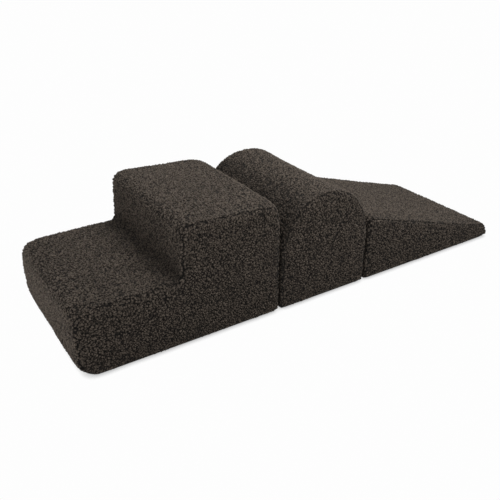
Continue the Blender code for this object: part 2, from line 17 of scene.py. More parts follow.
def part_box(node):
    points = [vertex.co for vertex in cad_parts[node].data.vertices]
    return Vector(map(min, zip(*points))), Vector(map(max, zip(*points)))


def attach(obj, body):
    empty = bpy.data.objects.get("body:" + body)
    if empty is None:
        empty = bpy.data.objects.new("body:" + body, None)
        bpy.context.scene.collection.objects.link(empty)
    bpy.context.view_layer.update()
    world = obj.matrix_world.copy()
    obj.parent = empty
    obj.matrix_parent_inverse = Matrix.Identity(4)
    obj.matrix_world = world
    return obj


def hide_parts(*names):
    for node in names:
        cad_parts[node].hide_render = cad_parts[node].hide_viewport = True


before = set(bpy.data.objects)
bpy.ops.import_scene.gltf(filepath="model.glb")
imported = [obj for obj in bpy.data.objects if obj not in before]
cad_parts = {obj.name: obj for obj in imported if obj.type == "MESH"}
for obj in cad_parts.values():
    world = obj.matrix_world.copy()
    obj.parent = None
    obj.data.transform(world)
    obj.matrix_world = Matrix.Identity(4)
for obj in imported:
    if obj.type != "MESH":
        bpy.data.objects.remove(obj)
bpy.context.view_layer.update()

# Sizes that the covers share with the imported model
COVER = 0.009
GAP = 0.0003
EDGE_RADIUS = 0.013
CROWN_OUT = 0.003
MOUTH_HALF = 0.0072
BASE_SKIN = 0.003
FOAM_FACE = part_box("steps_lower_foam")[1].y
HALF_DEPTH = FOAM_FACE + COVER + GAP
STEPS_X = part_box("steps_front_strip")[0].x + CROWN_OUT
ARCH_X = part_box("arch_top_strip")[0].x + CROWN_OUT
RAMP_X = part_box("ramp_top_strip")[0].x + CROWN_OUT
STEPS_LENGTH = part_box("steps_rear_strip")[1].x - CROWN_OUT - STEPS_X
ARCH_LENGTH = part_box("arch_top_strip")[1].x - CROWN_OUT - ARCH_X
UPPER_TAPES = {block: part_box(block + "_zip_upper_tape") for block in ("steps", "arch", "ramp")}
MOUTHS = {block: (low.x, high.x) for block, (low, high) in UPPER_TAPES.items()}
ZIP_HEIGHT = (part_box("arch_zip_lower_tape")[1].z + UPPER_TAPES["arch"][0].z) / 2
HEM_HEIGHT = ZIP_HEIGHT + MOUTH_HALF

# Outline of the step block, from its lower left corner. The bow is a corner's x, z and radius.
LOW_TOP = 0.199
RISER_X = 0.286
HIGH_X = 0.2935
HIGH_FRONT = 0.352
HIGH_BACK = 0.337
FRONT_BOW = (-0.0025, 0.110, 0.6)
FRONT_FOOT_RADIUS = 0.053
LOW_TOP_RADIUS = 0.024
TUCK_RADIUS = 0.015
HIGH_FRONT_RADIUS = 0.022
HIGH_BACK_RADIUS = 0.024
HEEL_RADIUS = 0.014

# Outline of the arch block: upright to the spring, then two quarters of a slightly full ellipse
ARCH_SPRING = 0.1625
ARCH_RISE = 0.1725
ARCH_FULLNESS = 2.12

# Outline of the ramp block. The sag is a corner's x, z and radius.
RAMP_HEAD = 0.2160
RAMP_HEAD_RADIUS = 0.016
RAMP_SAG = (0.420, 0.0893, 8.0)
NOSE_X = 0.582
NOSE_TOP = 0.0445
NOSE_TOP_RADIUS = 0.043
NOSE_FOOT_RADIUS = 0.010

# Coarse mesh of the covers. Leans are shares of a normal that points straight along an axis.
GRID = 0.0062
CLOTH_GRID = 0.014
TURN_STEP = math.radians(20)
COARSE_TURN_LIMIT = 1.8
BEND_RADIUS = 0.022
SEAM_DEGREES = 46
UPRIGHT_EXTRA_DEGREES = 34
UPRIGHT_TIGHTENING = 0.42
UPRIGHT_LEAN = (0.3, 0.95)
MEAN_SEAM_TURN = math.radians(60)
ROW_SHARE = 0.87
ROOM_SHARE = 0.62
SUBDIVISIONS = 2
FAR_AWAY = 9.0

# Crowns of the sides and strips. A loss is how much a crown falls on the part that leans as said.
CROWN = 0.002
CROWN_REACH = 0.090
DOWN_LEAN = -0.7
MATING_CROWN = 0.0028
STEPS_CROWN = 0.0015
ARCH_CROWN = 0.0026
ARCH_CROWN_LOSS = 0.0060
ARCH_TOP_LEAN = (0.1, 0.85)
RAMP_CROWN = 0.0008
RAMP_CROWN_LOSS = 0.0088
NOSE_LEAN = (0.3, 0.8)

# Faces on which neighbouring blocks press: how they lean, their reach, and each one's x and top
MATING_LEAN = (0.93, 1.0)
MATING_LEAN_LEAST = 0.9
MATING_REACH = (0.002, 0.01)
MATING_FADE = 0.03
MATING_FACES = {
    "steps": [(STEPS_LENGTH, 0.33)],
    "arch": [(0, 0.29), (ARCH_LENGTH, 0.22)],
    "ramp": [(0, 0.21)],
}

# Corners where three panels meet: x, z, reach and strength of their rounding
SOFT_CORNERS = [
    (STEPS_X, LOW_TOP, 0.046, 1.0),
    (STEPS_X, 0.0, 0.040, 0.6),
    (STEPS_X + HIGH_X, HIGH_FRONT, 0.028, 0.45),
    (STEPS_X + STEPS_LENGTH, HIGH_BACK, 0.034, 0.7),
    (RAMP_X + NOSE_X, 0.022, 0.032, 0.55),
    (RAMP_X, RAMP_HEAD, 0.026, 0.4),
]
SOFTENING_ROUNDS = 36
SOFTENING_STEP = 0.5
SQUEEZE = 0.012

# Cloth simulation
CLOTH_FRAMES = 20
CLOTH_PRESSURE = 4
CLOTH_QUALITY = 4
CLOTH_SHRINK = -0.012
HELD_REACH = 0.0015
HELD_PRESS = 0.5
PUFF = 0.004
PUFF_SHARE = 0.12
PUFF_NEIGHBOURS = 4
PUFF_BLUR = 0.002
PUFF_RISE = 0.03
SIDE_START = 0.21
SIDE_LOSS = 0.5

# Curls of the pile. Shares are of a curl's size or height.
CURL = 0.0060
CLUMP = 0.0084
FINE_CURL_SHARE = 0.42
GROWTH = 0.22
GROWTH_START = -0.4
WARP_GRAIN_SHARE = 0.9
WARP_SHARE = 0.62
CREASE_FLOOR = 0.36
CREASE_GAP = 0.32
CLUMP_FLOOR = 0.10
CLUMP_GAP = 0.36
PIT_SHARE = 0.52
LOWEST_CURL = 0.84
TALLEST_CURL = 0.96
CURL_SHADE_SHARE = 0.65
CLUMP_ZONE = 0.035
CLUMP_REACH = 0.016
LEVEL_CLUMP_SHARE = 0.40
CURL_SEED, CLUMP_SEED, FINE_CURL_SEED = 21, 61, 81
NAME_SEED_STEP = 7
TUMBLE = np.array(Matrix.Rotation(0.9, 3, (0.37, 0.61, 0.70)), np.float32)

# Upright seams of the sides: x, lowest and highest z
UPRIGHT_SEAMS = [
    (STEPS_X, 0.0, LOW_TOP),
    (STEPS_X + HIGH_X, LOW_TOP, HIGH_FRONT),
    (STEPS_X + STEPS_LENGTH, 0.0, HIGH_BACK),
    (ARCH_X, 0.0, ARCH_SPRING),
    (ARCH_X + ARCH_LENGTH, 0.0, ARCH_SPRING),
    (RAMP_X, 0.0, RAMP_HEAD),
]
UPRIGHT_REACH = 0.024

# Height of the pile and how it changes by seams, bends, mating faces and the floor
PILE = 0.0046
PILE_LEVEL = 0.58
PRESSED_LOSS = 0.60
SEAM_ZONE = 0.03
UPRIGHT_GAIN = 0.35
BEND_LOSS = 0.08
SHOULDER_PLACE = 0.0075
SHOULDER_WIDTH = 0.0055
SHOULDER_LOSS = 0.15
SHOULDER_RISE = 0.0006
# Painted highlight: the curls on a seam's shoulder are coloured lighter
SHOULDER_PAINTED_HIGHLIGHT = 0.16
PUCKER = 0.0006
SWELL = 0.0016
FLOOR_FADE = 0.010
FLOOR_SHARE = 0.35
FLOOR_ROOM = 0.0002
FLOOR_CURLS = 0.0012

# Cracks along the seams
GROOVE = 0.0030
WANDER = 0.0075
CRACK_WIDTH = 0.0008
CRACK_WIDENING = 0.0012
CRACK_UNEVENNESS = 1.5
UPRIGHT_WIDENING = 0.0005
CRACK_CONTRAST = 4.0
CRACK_CUT = 1.1
CRACK_PILE_LOSS = 0.5
# Painted shade: the seams' cracks are coloured darker
CRACK_PAINTED_SHADE = 0.85

# Painted shade, where the pile is darker: in the tuck under the riser, and as the upper step's painted
# shadow on the arch's flank beside the steps
TUCK_SHADE_REACH = 0.048
TUCK_SHADE_OVERHANG = 0.004
TUCK_SHADE_FADE = 0.012
FLANK_SHADOW_PLACE = 0.045
FLANK_SHADOW_REACH = 0.052
FLANK_SHADOW_LEAN_GAIN = 2.5
FLANK_SHADOW_SHARE = 0.80

# Grain and seed of each smooth noise over the covers
PUCKER_NOISE = (0.018, 41)
SWELL_NOISE = (0.075, 42)
WANDER_NOISE = (0.014, 43)
WIDTH_NOISE = (0.009, 44)
CRACK_NOISE = (0.012, 45)
RIPPLE_NOISE = (0.05, 51)

# Turned-in edges of the panels and the hem round the zip
RIM = 0.006
HEM_RADIUS = 0.005

# Base panels
BASE_CLOTH = BASE_SKIN * 0.9
BASE_LIFT = 0.0009
BASE_LIFT_RISE = 0.02
BASE_LEVEL = 0.001
BASE_SEAM_WIDTH = 0.0018
HEM_FOLD = BASE_SKIN * 0.45
UPSTAND_FEET = (0.0004, 0.0006)
UPSTAND_SLACK = 0.0002
UPSTAND_STEP = 0.004
UPSTAND_WAVE = 0.00035
UPSTAND_WAVE_TURNS = (210, 47)

# Zips
TAPE_TAIL = 0.0165
TAPE_NEAR = 0.0009
TAPE_FAR = 0.0139
TAPE_THICKNESS = 0.00055
TAPE_ROOM = 0.00002
TAPE_STEP = 0.003
TAPE_RIDGE = 0.00012
TAPE_WAVE = 0.00008
TAPE_WAVE_TURN = 160
TAPE_SHARP_ANGLE = math.radians(50)
SELVEDGE_SHARES = (0.12, 0.35)
TAPE_WIDTH_SHARES = [0.0, 0.04, 0.10, 0.14, 0.3, 0.5, 0.7, 0.86, 0.93, 1.0]
COIL_PITCH = 0.00155
COIL_WIRE = 0.00036
COIL_NEAR = 0.0007
COIL_FAR = 0.0033
COIL_THICKNESS = 0.0022
COIL_LEAN_SHARE = 0.25
COIL_STEPS = 8
WIRE_SIDES = 5
STOP_BEVEL = 0.00015
SLIDER_BEVEL = 0.0002
PULL_BEVEL = 0.0003
BEVEL_ANGLE = math.radians(35)
SHARP_ANGLE = math.radians(38)

# Camera, fitted to the photograph's frame
IMAGE_WIDTH = 500
SENSOR_WIDTH = 36
FOCAL_PIXELS = 630.5759
SHIFT_PIXELS = 1.0038
CAMERA_PLACE = (-1.0502, -1.4721, 1.0137)
CAMERA_YAW, CAMERA_PITCH, CAMERA_ROLL = 0.5664, 0.4873, 0.0015

# Studio: white that the camera sees, and each lamp's place, target, size and power
PLAIN_WHITE = (0.985, 0.985, 0.985)
WORLD_STRENGTH = 0.015
FLOOR_SIZE = 30
FLOOR_DEPTH = 0.0002
FLOOR_GREY = (0.35, 0.35, 0.35)
CONTACT_REACH = 0.022
CONTACT_GREY = (0.42, 0.42, 0.42)
LAMPS = {
    "mid_key": ((0.06, 0.0, 1.35), (0.06, 0, 0.1), (1.1, 1.5), 6.4),
    "front_key": ((0.15, -1.5, 2.0), (0, 0, 0.1), (2.4, 1.6), 30),
    "left_floor": ((-1.75, 0.0, 0.01), (-1.75, 0, 1), (1.8, 1.8), 12),
    "left_side": ((-2.6, 0.0, 0.8), (0, 0, 0.15), (1.4, 1.4), 12),
    "near_floor": ((0.0, -1.3, 0.01), (0, -1.3, 1), (2.6, 1.2), 5),
    "back_fill": ((0.3, 2.8, 1.1), (0, 0, 0.15), (2.4, 1.4), 24),
    "right_fill": ((2.8, 0.2, 0.9), (0, 0, 0.15), (1.4, 1.4), 11),
}

# Whole numbers that scatter the noise
AXIS_FACTORS = (0x8DA6B343, 0xD8163841, 0xCB1AB31F)
SEED_FACTOR = 0x9E3779B9
MIXING_STEPS = ((16, 0x85EBCA6B), (13, 0xC2B2AE35))
ALL_BITS = 0xFFFFFFFF
TEN_BITS = 1023


# Noise


def scramble(cell, seed):
    """A whole number with even bits for each whole-numbered cell."""
    mixed = np.uint32((seed * SEED_FACTOR) & ALL_BITS)
    for part, factor in zip(cell, AXIS_FACTORS):
        mixed = mixed ^ part * np.uint32(factor)
    for shift, factor in MIXING_STEPS:
        mixed = (mixed ^ (mixed >> np.uint32(shift))) * np.uint32(factor)
    return mixed ^ (mixed >> np.uint32(16))


def unit(bits, shift=0):
    """Numbers from 0 to 1 from ten bits of scrambled whole numbers."""
    return ((bits >> np.uint32(shift)) & np.uint32(TEN_BITS)).astype(np.float32) / np.float32(TEN_BITS)


def cells_and_parts(points):
    """Which cell of one unit each point lies in, and where in it."""
    low = np.floor(points)
    return low.astype(np.int64).astype(np.uint32), (points - low).astype(np.float32)


def smooth_noise(points, seed):
    """Value noise from 0 to 1 with a grain of one unit."""
    cell, part = cells_and_parts(points)
    part = part * part * (3 - 2 * part)
    total = np.zeros(len(points), np.float32)
    for corner in range(8):
        offset = [(corner >> k) & 1 for k in range(3)]
        weight = np.ones(len(points), np.float32)
        for k in range(3):
            weight *= part[:, k] if offset[k] else 1 - part[:, k]
        total += weight * unit(scramble([cell[:, k] + np.uint32(offset[k]) for k in range(3)], seed))
    return total


def grained(points, noise):
    """Smooth noise of a named grain and seed."""
    grain, seed = noise
    return smooth_noise(points / grain, seed)


def cells_noise(points, seed):
    """Distances to the three nearest of scattered points, and a number of the nearest."""
    cell, part = cells_and_parts(points)
    nearest, second, third = (np.full(len(points), FAR_AWAY, np.float32) for _ in range(3))
    name = np.zeros(len(points), np.float32)
    for shift in np.ndindex(3, 3, 3):
        shift = [k - 1 for k in shift]
        here = [cell[:, k] + np.uint32(shift[k] & ALL_BITS) for k in range(3)]
        bits = scramble(here, seed)
        square = np.zeros(len(points), np.float32)
        for k in range(3):
            square += (shift[k] + unit(bits, 10 * k) - part[:, k]) ** 2
        closer = square < nearest
        third = np.minimum(third, np.maximum(second, square))
        second = np.minimum(second, np.maximum(nearest, square))
        nearest = np.minimum(nearest, square)
        name = np.where(closer, unit(scramble(here, seed + NAME_SEED_STEP)), name)
    return np.sqrt(nearest), np.sqrt(second), np.sqrt(third), name


def curls(points, size, seed, floor=CREASE_FLOOR, gap=CREASE_GAP):
    """Rounded curls with pits where three of them meet: their height and shade. Their size grows a
    little along the row. The creases between them are a gap wide and go down to the floor.
    """
    turned = points @ TUMBLE / (1 + GROWTH * np.clip(points[:, :1] - GROWTH_START, 0, 1))
    grain = size * WARP_GRAIN_SHARE
    warp = np.stack([smooth_noise(turned / grain, seed + k) for k in (1, 2, 3)], 1) - 0.5
    near, following, third, name = cells_noise((turned + warp * size * WARP_SHARE) / size, seed)
    crease = np.clip((following - near) / gap, 0, 1)
    pit = np.clip((third - near) / PIT_SHARE, 0, 1)
    body = (floor + (1 - floor) * np.sqrt(crease)) * pit
    return body * (LOWEST_CURL + (1 - LOWEST_CURL) * name), name


def by_upright_seam(points):
    """How near points are to one of the upright seams, from 0 to 1."""
    share = np.zeros(len(points), np.float32)
    for x, low, high in UPRIGHT_SEAMS:
        beyond = np.maximum(low - points[:, 2], 0) + np.maximum(points[:, 2] - high, 0)
        far = (points[:, 0] - x) ** 2 + beyond**2
        share = np.maximum(share, np.exp(-far / UPRIGHT_REACH**2))
    return share


def curly_pile(points, seam):
    """Height of the pile from 0 in its creases to 1 on its tips, and the shade of each curl."""
    height, name = curls(points, CURL, CURL_SEED)
    close = seam < CLUMP_ZONE
    clump, clump_name = curls(points[close], CLUMP, CLUMP_SEED, CLUMP_FLOOR, CLUMP_GAP)
    upright = by_upright_seam(points[close])
    share = np.exp(-((seam[close] / CLUMP_REACH) ** 2))
    share = share * (LEVEL_CLUMP_SHARE + (1 - LEVEL_CLUMP_SHARE) * upright)
    height[close] += share * (clump - height[close])
    name[close] = np.where(share > 0.5, clump_name, name[close])
    fine, fine_name = curls(points, CURL * FINE_CURL_SHARE, FINE_CURL_SEED)
    height = height * (LOWEST_CURL + (1 - LOWEST_CURL) * fine)
    shade = CURL_SHADE_SHARE * name + (1 - CURL_SHADE_SHARE) * fine_name
    return np.clip(height / TALLEST_CURL, 0, 1), shade


# Outlines


def left_of(way):
    return np.array((-way[1], way[0]))


def elliptic_corner(corner, before, after, radii, steps):
    """Points and outward normals of a quarter of a slightly full ellipse at a right-angled corner."""
    first, last = left_of(before), left_of(after)
    turns = np.linspace(0, math.pi / 2, steps + 1)[:, None]
    c, s = np.cos(turns), np.sin(turns)
    power = 2 / ARCH_FULLNESS
    centre = corner - first * radii[0] - last * radii[1]
    points = centre + first * radii[0] * c**power + last * radii[1] * s**power
    normals = first * c ** (2 - power) / radii[0] + last * s ** (2 - power) / radii[1]
    return points, normals / np.linalg.norm(normals, axis=1)[:, None]


def corner_arc(corner, before, after, radius, steps=24):
    """Points and outward normals of the arc at a corner of a clockwise outline."""
    if isinstance(radius, tuple):
        return elliptic_corner(corner, before, after, radius, steps)
    turn = math.atan2(before[0] * after[1] - before[1] * after[0], before @ after)
    outward = 1 if turn < 0 else -1
    start = corner - before * (radius * math.tan(abs(turn) / 2))
    centre = start - left_of(before) * radius * outward
    normals = []
    for share in np.linspace(0, 1, steps + 1):
        c, s = math.cos(turn * share), math.sin(turn * share)
        normal = left_of(before)
        normals.append((normal[0] * c - normal[1] * s, normal[0] * s + normal[1] * c))
    normals = np.array(normals)
    return centre + normals * radius * outward, normals


def outline(corners, radii):
    """A dense closed outline: its points, their normals, and each point's arc and share in it."""
    corners = np.array(corners, float)
    ways = np.roll(corners, -1, 0) - corners
    ways /= np.linalg.norm(ways, axis=1)[:, None]
    points, normals, marks = [], [], []
    for k, radius in enumerate(radii):
        arc, out = corner_arc(corners[k], ways[k - 1], ways[k], radius)
        points.append(arc)
        normals.append(out)
        marks += [(k, share) for share in np.linspace(0, 1, len(arc))]
    return np.vstack(points), np.vstack(normals), marks


def stations(grid, points, normals, marks, breaks):
    """Evenly spread stations from break to break along an outline, closer on its tight arcs: their
    places, normals, panels, distances to the ends of the base, and how much the outline bends there.
    """
    rolled = marks.index(breaks[0][:2])
    points = np.vstack([np.roll(points, -rolled, 0), points[rolled]])
    normals = np.vstack([np.roll(normals, -rolled, 0), normals[rolled]])
    marks = marks[rolled:] + marks[:rolled]
    legs = np.linalg.norm(np.diff(points, axis=0), axis=1)
    turning = np.arccos(np.clip((normals[1:] * normals[:-1]).sum(1), -1, 1))
    turn_step = TURN_STEP * min(COARSE_TURN_LIMIT, grid / GRID)
    cost = np.concatenate([[0], np.cumsum(np.maximum(legs / grid, turning / turn_step))])
    length = np.concatenate([[0], np.cumsum(legs)])
    ends = [marks.index(b[:2]) for b in breaks] + [len(points) - 1]
    places, panels, bounds = [], [], []
    for (first, last), spot in zip(zip(ends, ends[1:]), breaks):
        count = max(2, round(cost[last] - cost[first]))
        places += list(np.interp(np.linspace(cost[first], cost[last], count + 1)[:-1], cost, length))
        panels += [spot[2]] * count
        bounds.append(length[first])
    out = [np.interp(places, length, column) for column in (*points.T, *normals.T)]
    place, normal = np.stack(out[:2], 1), np.stack(out[2:], 1)
    normal /= np.linalg.norm(normal, axis=1)[:, None]
    near_break = np.full(len(places), FAR_AWAY)
    for bound in (bounds[0], bounds[-1]):
        gap = np.abs(np.array(places) - bound)
        near_break = np.minimum(near_break, np.minimum(gap, length[-1] - gap))
    outward = (normals[:-1, 0] * normals[1:, 1] - normals[:-1, 1] * normals[1:, 0]) < 0
    rate = np.where(outward, turning / np.maximum(legs, 1e-6), 0)
    bend = np.interp(places, (length[1:] + length[:-1]) / 2, np.clip(rate * BEND_RADIUS, 0, 1))
    return place, normal, panels, near_break, bend


def step_loop(grid):
    corners = [(0, 0), FRONT_BOW[:2], (0, LOW_TOP), (RISER_X, LOW_TOP), (HIGH_X, HIGH_FRONT)]
    corners += [(STEPS_LENGTH, HIGH_BACK), (STEPS_LENGTH, 0)]
    radii = [FRONT_FOOT_RADIUS, FRONT_BOW[2], LOW_TOP_RADIUS, TUCK_RADIUS]
    radii += [HIGH_FRONT_RADIUS, HIGH_BACK_RADIUS, HEEL_RADIUS]
    breaks = [(0, 0.0, "front_strip"), (3, 0.5, "rear_strip"), (6, 1.0, "base_panel")]
    return stations(grid, *outline(corners, radii), breaks)


def arch_loop(grid):
    half, apex = ARCH_LENGTH / 2, ARCH_SPRING + ARCH_RISE
    corners = [(0, 0), (0, apex), (ARCH_LENGTH, apex), (ARCH_LENGTH, 0)]
    radii = [HEEL_RADIUS, (half, ARCH_RISE), (ARCH_RISE, half), HEEL_RADIUS]
    return stations(grid, *outline(corners, radii), [(0, 0.0, "top_strip"), (3, 1.0, "base_panel")])


def ramp_loop(grid):
    corners = [(0, 0), (0, RAMP_HEAD), RAMP_SAG[:2], (NOSE_X, NOSE_TOP), (NOSE_X, 0)]
    radii = [HEEL_RADIUS, RAMP_HEAD_RADIUS, RAMP_SAG[2], NOSE_TOP_RADIUS, NOSE_FOOT_RADIUS]
    return stations(grid, *outline(corners, radii), [(0, 0.0, "top_strip"), (4, 1.0, "base_panel")])


# Coarse covers


def distance_to_loop(loop, points):
    """Shortest distance from each point to a closed loop."""
    start, along = loop, np.roll(loop, -1, 0) - loop
    square = np.maximum((along**2).sum(1), 1e-12)
    nearest = np.full(len(points), FAR_AWAY)
    batch = 500
    for k in range(0, len(points), batch):
        rel = points[k : k + batch, None] - start[None]
        share = np.clip((rel * along).sum(2) / square, 0, 1)
        nearest[k : k + batch] = np.linalg.norm(rel - share[..., None] * along, axis=2).min(1)
    return nearest


def inside_loop(loop, points):
    """Which points lie inside a closed loop, by how often a ray from each crosses it."""
    within = np.zeros(len(points), bool)
    for a, b in zip(loop, np.roll(loop, -1, 0)):
        spans = (a[1] > points[:, 1]) != (b[1] > points[:, 1])
        rise = b[1] - a[1] if b[1] != a[1] else 1.0
        cross = a[0] + (points[:, 1] - a[1]) * (b[0] - a[0]) / rise
        within ^= spans & (cross > points[:, 0])
    return within


class Covers:
    """Vertices and faces of all covers, with the facts that the pile and the seams need."""

    def __init__(self):
        self.points, self.seam, self.press, self.across, self.bend = [], [], [], [], []
        self.faces, self.panels, self.names = [], [], []

    def panel(self, name):
        if name not in self.names:
            self.names.append(name)
        return self.names.index(name)

    def add(self, point, seam, press, across, bend):
        self.points.append(point)
        self.seam.append(seam)
        self.press.append(press)
        self.across.append(max(-SEAM_ZONE, min(SEAM_ZONE, across)))
        self.bend.append(bend)
        return len(self.points) - 1

    def face(self, corners, panel):
        self.faces.append(corners)
        self.panels.append(panel)


def ramp_up(value, low, high):
    """From 0 at low to 1 at high, smoothly."""
    share = min(1.0, max(0.0, (value - low) / (high - low)))
    return share * share * (3 - 2 * share)


def cross_section(columns, upright, radius):
    """One station's points over the depth, two of them on each side panel: y, inset from the outline,
    share of the crown, and distance to the seam.
    """
    seam_turn = math.radians(SEAM_DEGREES + UPRIGHT_EXTRA_DEGREES * upright)
    flat = HALF_DEPTH - radius
    edge = []
    for turn in (math.pi / 2, (math.pi / 2 + seam_turn) / 2, seam_turn, seam_turn / 2):
        depth, inset = radius * (1 - math.sin(turn)), radius * (1 - math.cos(turn))
        edge.append((-(HALF_DEPTH - depth), inset, 0.0, abs(turn - seam_turn) * radius))
    arc = radius * seam_turn
    middle = [(share * flat, 0.0, 1 - share**4, arc + flat * (1 - abs(share))) for share in columns]
    return edge + middle + [(-y, inset, swell, seam) for y, inset, swell, seam in edge[::-1]]


def fill_sides(covers, grid, place_x, rim, ends, sides):
    """The two flat sides inside their rims, as even triangles with a crown."""
    count = len(rim)
    columns = np.arange(rim[:, 0].min(), rim[:, 0].max(), grid)
    rows = np.arange(rim[:, 1].min(), rim[:, 1].max(), grid * ROW_SHARE)
    inner = np.array([(x + grid / 2 * (i % 2), z) for i, z in enumerate(rows) for x in columns])
    inner = inner[inside_loop(rim, inner)]
    inner = inner[distance_to_loop(rim, inner) > grid * ROOM_SHARE]
    away = distance_to_loop(rim, inner)
    edges = [(k, (k + 1) % count) for k in range(count)]
    filled = geometry.delaunay_2d_cdt([Vector(p) for p in [*rim, *inner]], edges, [], 1, 1e-6)
    arc = EDGE_RADIUS * (math.pi / 2 - MEAN_SEAM_TURN)
    for side, end in zip((-1, 1), ends):
        corners = list(end)
        for (x, z), gap in zip(inner, away):
            swell = CROWN * (1 - max(0, 1 - gap / CROWN_REACH) ** 4)
            spot = (place_x + x, side * (HALF_DEPTH + swell), z)
            corners.append(covers.add(spot, gap + arc, 0.0, -gap - arc, 0.0))
        for face in filled[2]:
            ids = [corners[k] for k in face]
            covers.face(ids if side < 0 else ids[::-1], sides[side > 0])


def add_block(covers, grid, block, place_x, loop, crowns, presses):
    """One block's closed cover. crowns and presses give a value for each outline station."""
    place, normal, panels, near_break, bend = loop
    columns = np.linspace(-1, 1, round(2 * (HALF_DEPTH - EDGE_RADIUS) / grid) + 1)
    # The base panel takes the block's first number, before the panels that start on its outline
    covers.panel(block + "_base_panel")
    sides = covers.panel(block + "_near_side_panel"), covers.panel(block + "_far_side_panel")
    count = len(place)
    rings, radii = [], []
    for k in range(count):
        upright = 0.0 if panels[k] == "base_panel" else ramp_up(abs(normal[k][0]), *UPRIGHT_LEAN)
        radius = EDGE_RADIUS * (1 - UPRIGHT_TIGHTENING * upright)
        section = cross_section(columns, upright, radius)
        last = len(section) - 1
        ring = []
        for j, (y, inset, swell, seam) in enumerate(section):
            spot = place[k] - normal[k] * (inset - crowns[k] * swell)
            on_side = j < 2 or j > last - 2
            to_seam = seam if on_side else min(seam, near_break[k])
            curve = 1.0 if abs(y) > HALF_DEPTH - radius else bend[k]
            across = -seam if on_side else seam
            ring.append(covers.add((place_x + spot[0], y, spot[1]), to_seam, presses[k], across, curve))
        rings.append(ring)
        radii.append(radius)
    for k in range(count):
        ring, following = rings[k], rings[(k + 1) % count]
        strip = covers.panel(f"{block}_{panels[k]}")
        for j in range(last):
            panel = sides[0] if j < 2 else sides[1] if j > last - 3 else strip
            covers.face((ring[j], following[j], following[j + 1], ring[j + 1]), panel)
    rim = place - normal * np.array(radii)[:, None]
    ends = [ring[0] for ring in rings], [ring[-1] for ring in rings]
    fill_sides(covers, grid, place_x, rim, ends, sides)


def mating(block, p, n):
    """How hard a point of a block's outline presses on a neighbouring block, from 0 to 1."""
    facing, hardest = ramp_up(abs(n[0]), *MATING_LEAN), 0.0
    for at, top in MATING_FACES[block]:
        beside = 1 - ramp_up(abs(p[0] - at), *MATING_REACH)
        below = 1 - ramp_up(p[1], top - MATING_FADE, top)
        hardest = max(hardest, facing * beside * below)
    return hardest


def steps_crown(p, n):
    if n[1] < DOWN_LEAN:
        return 0.0
    at_back = n[0] > MATING_LEAN_LEAST and abs(p[0] - STEPS_LENGTH) < MATING_REACH[1]
    return MATING_CROWN if at_back else STEPS_CROWN


def arch_crown(p, n):
    return 0.0 if n[1] < DOWN_LEAN else ARCH_CROWN - ARCH_CROWN_LOSS * ramp_up(n[1], *ARCH_TOP_LEAN)


def ramp_crown(p, n):
    if n[1] < DOWN_LEAN:
        return 0.0
    if n[0] < -MATING_LEAN_LEAST:
        return MATING_CROWN
    return RAMP_CROWN - RAMP_CROWN_LOSS * ramp_up(n[0], *NOSE_LEAN)


def make_covers(grid):
    """The coarse covers of all blocks."""
    covers = Covers()
    for block, place_x, make_loop, crown in (
        ("steps", STEPS_X, step_loop, steps_crown),
        ("arch", ARCH_X, arch_loop, arch_crown),
        ("ramp", RAMP_X, ramp_loop, ramp_crown),
    ):
        loop = make_loop(grid)
        crowns = [crown(p, n) for p, n in zip(*loop[:2])]
        presses = [mating(block, p, n) for p, n in zip(*loop[:2])]
        add_block(covers, grid, block, place_x, loop, crowns, presses)
    return covers


def softened(covers):
    """The covers' points with the corners where three panels meet rounded off."""
    points = np.array(covers.points, np.float32)
    pairs = set()
    for face in covers.faces:
        for a, b in zip(face, [*face[1:], face[0]]):
            pairs.add((a, b) if a < b else (b, a))
    pairs = np.array(sorted(pairs))
    weight = np.zeros(len(points), np.float32)
    for x, z, reach, strength in SOFT_CORNERS:
        for y in (-HALF_DEPTH, HALF_DEPTH):
            far = np.linalg.norm(points - np.array((x, y, z)), axis=1)
            weight = np.maximum(weight, strength * np.exp(-((far / reach) ** 4)))
    degree = np.bincount(pairs.ravel(), minlength=len(points)).astype(np.float32)
    for _ in range(SOFTENING_ROUNDS):
        total = np.zeros_like(points)
        for k in range(3):
            total[:, k] = np.bincount(pairs[:, 0], points[pairs[:, 1], k], len(points))
            total[:, k] += np.bincount(pairs[:, 1], points[pairs[:, 0], k], len(points))
        points += (SOFTENING_STEP * weight)[:, None] * (total / degree[:, None] - points)
    return points


# Meshes


def linked(name, data):
    """A new object of some data, in the scene."""
    piece = bpy.data.objects.new(name, data)
    bpy.context.scene.collection.objects.link(piece)
    return piece


def mesh_object(name, points, faces):
    mesh = bpy.data.meshes.new(name)
    mesh.from_pydata([tuple(p) for p in points], [], [tuple(f) for f in faces])
    return linked(name, mesh)


def read(items, key, width=1, kind=np.float32):
    """What each of Blender's items holds under a key, in rows of a width."""
    flat = np.empty(len(items) * width, kind)
    items.foreach_get(key, flat)
    return flat.reshape(-1, width) if width > 1 else flat


def write_values(mesh, values):
    """Named values on the points of a mesh."""
    for key, numbers in values.items():
        attribute = mesh.attributes.new(key, "FLOAT", "POINT")
        attribute.data.foreach_set("value", np.array(numbers, np.float32))


# Cloth


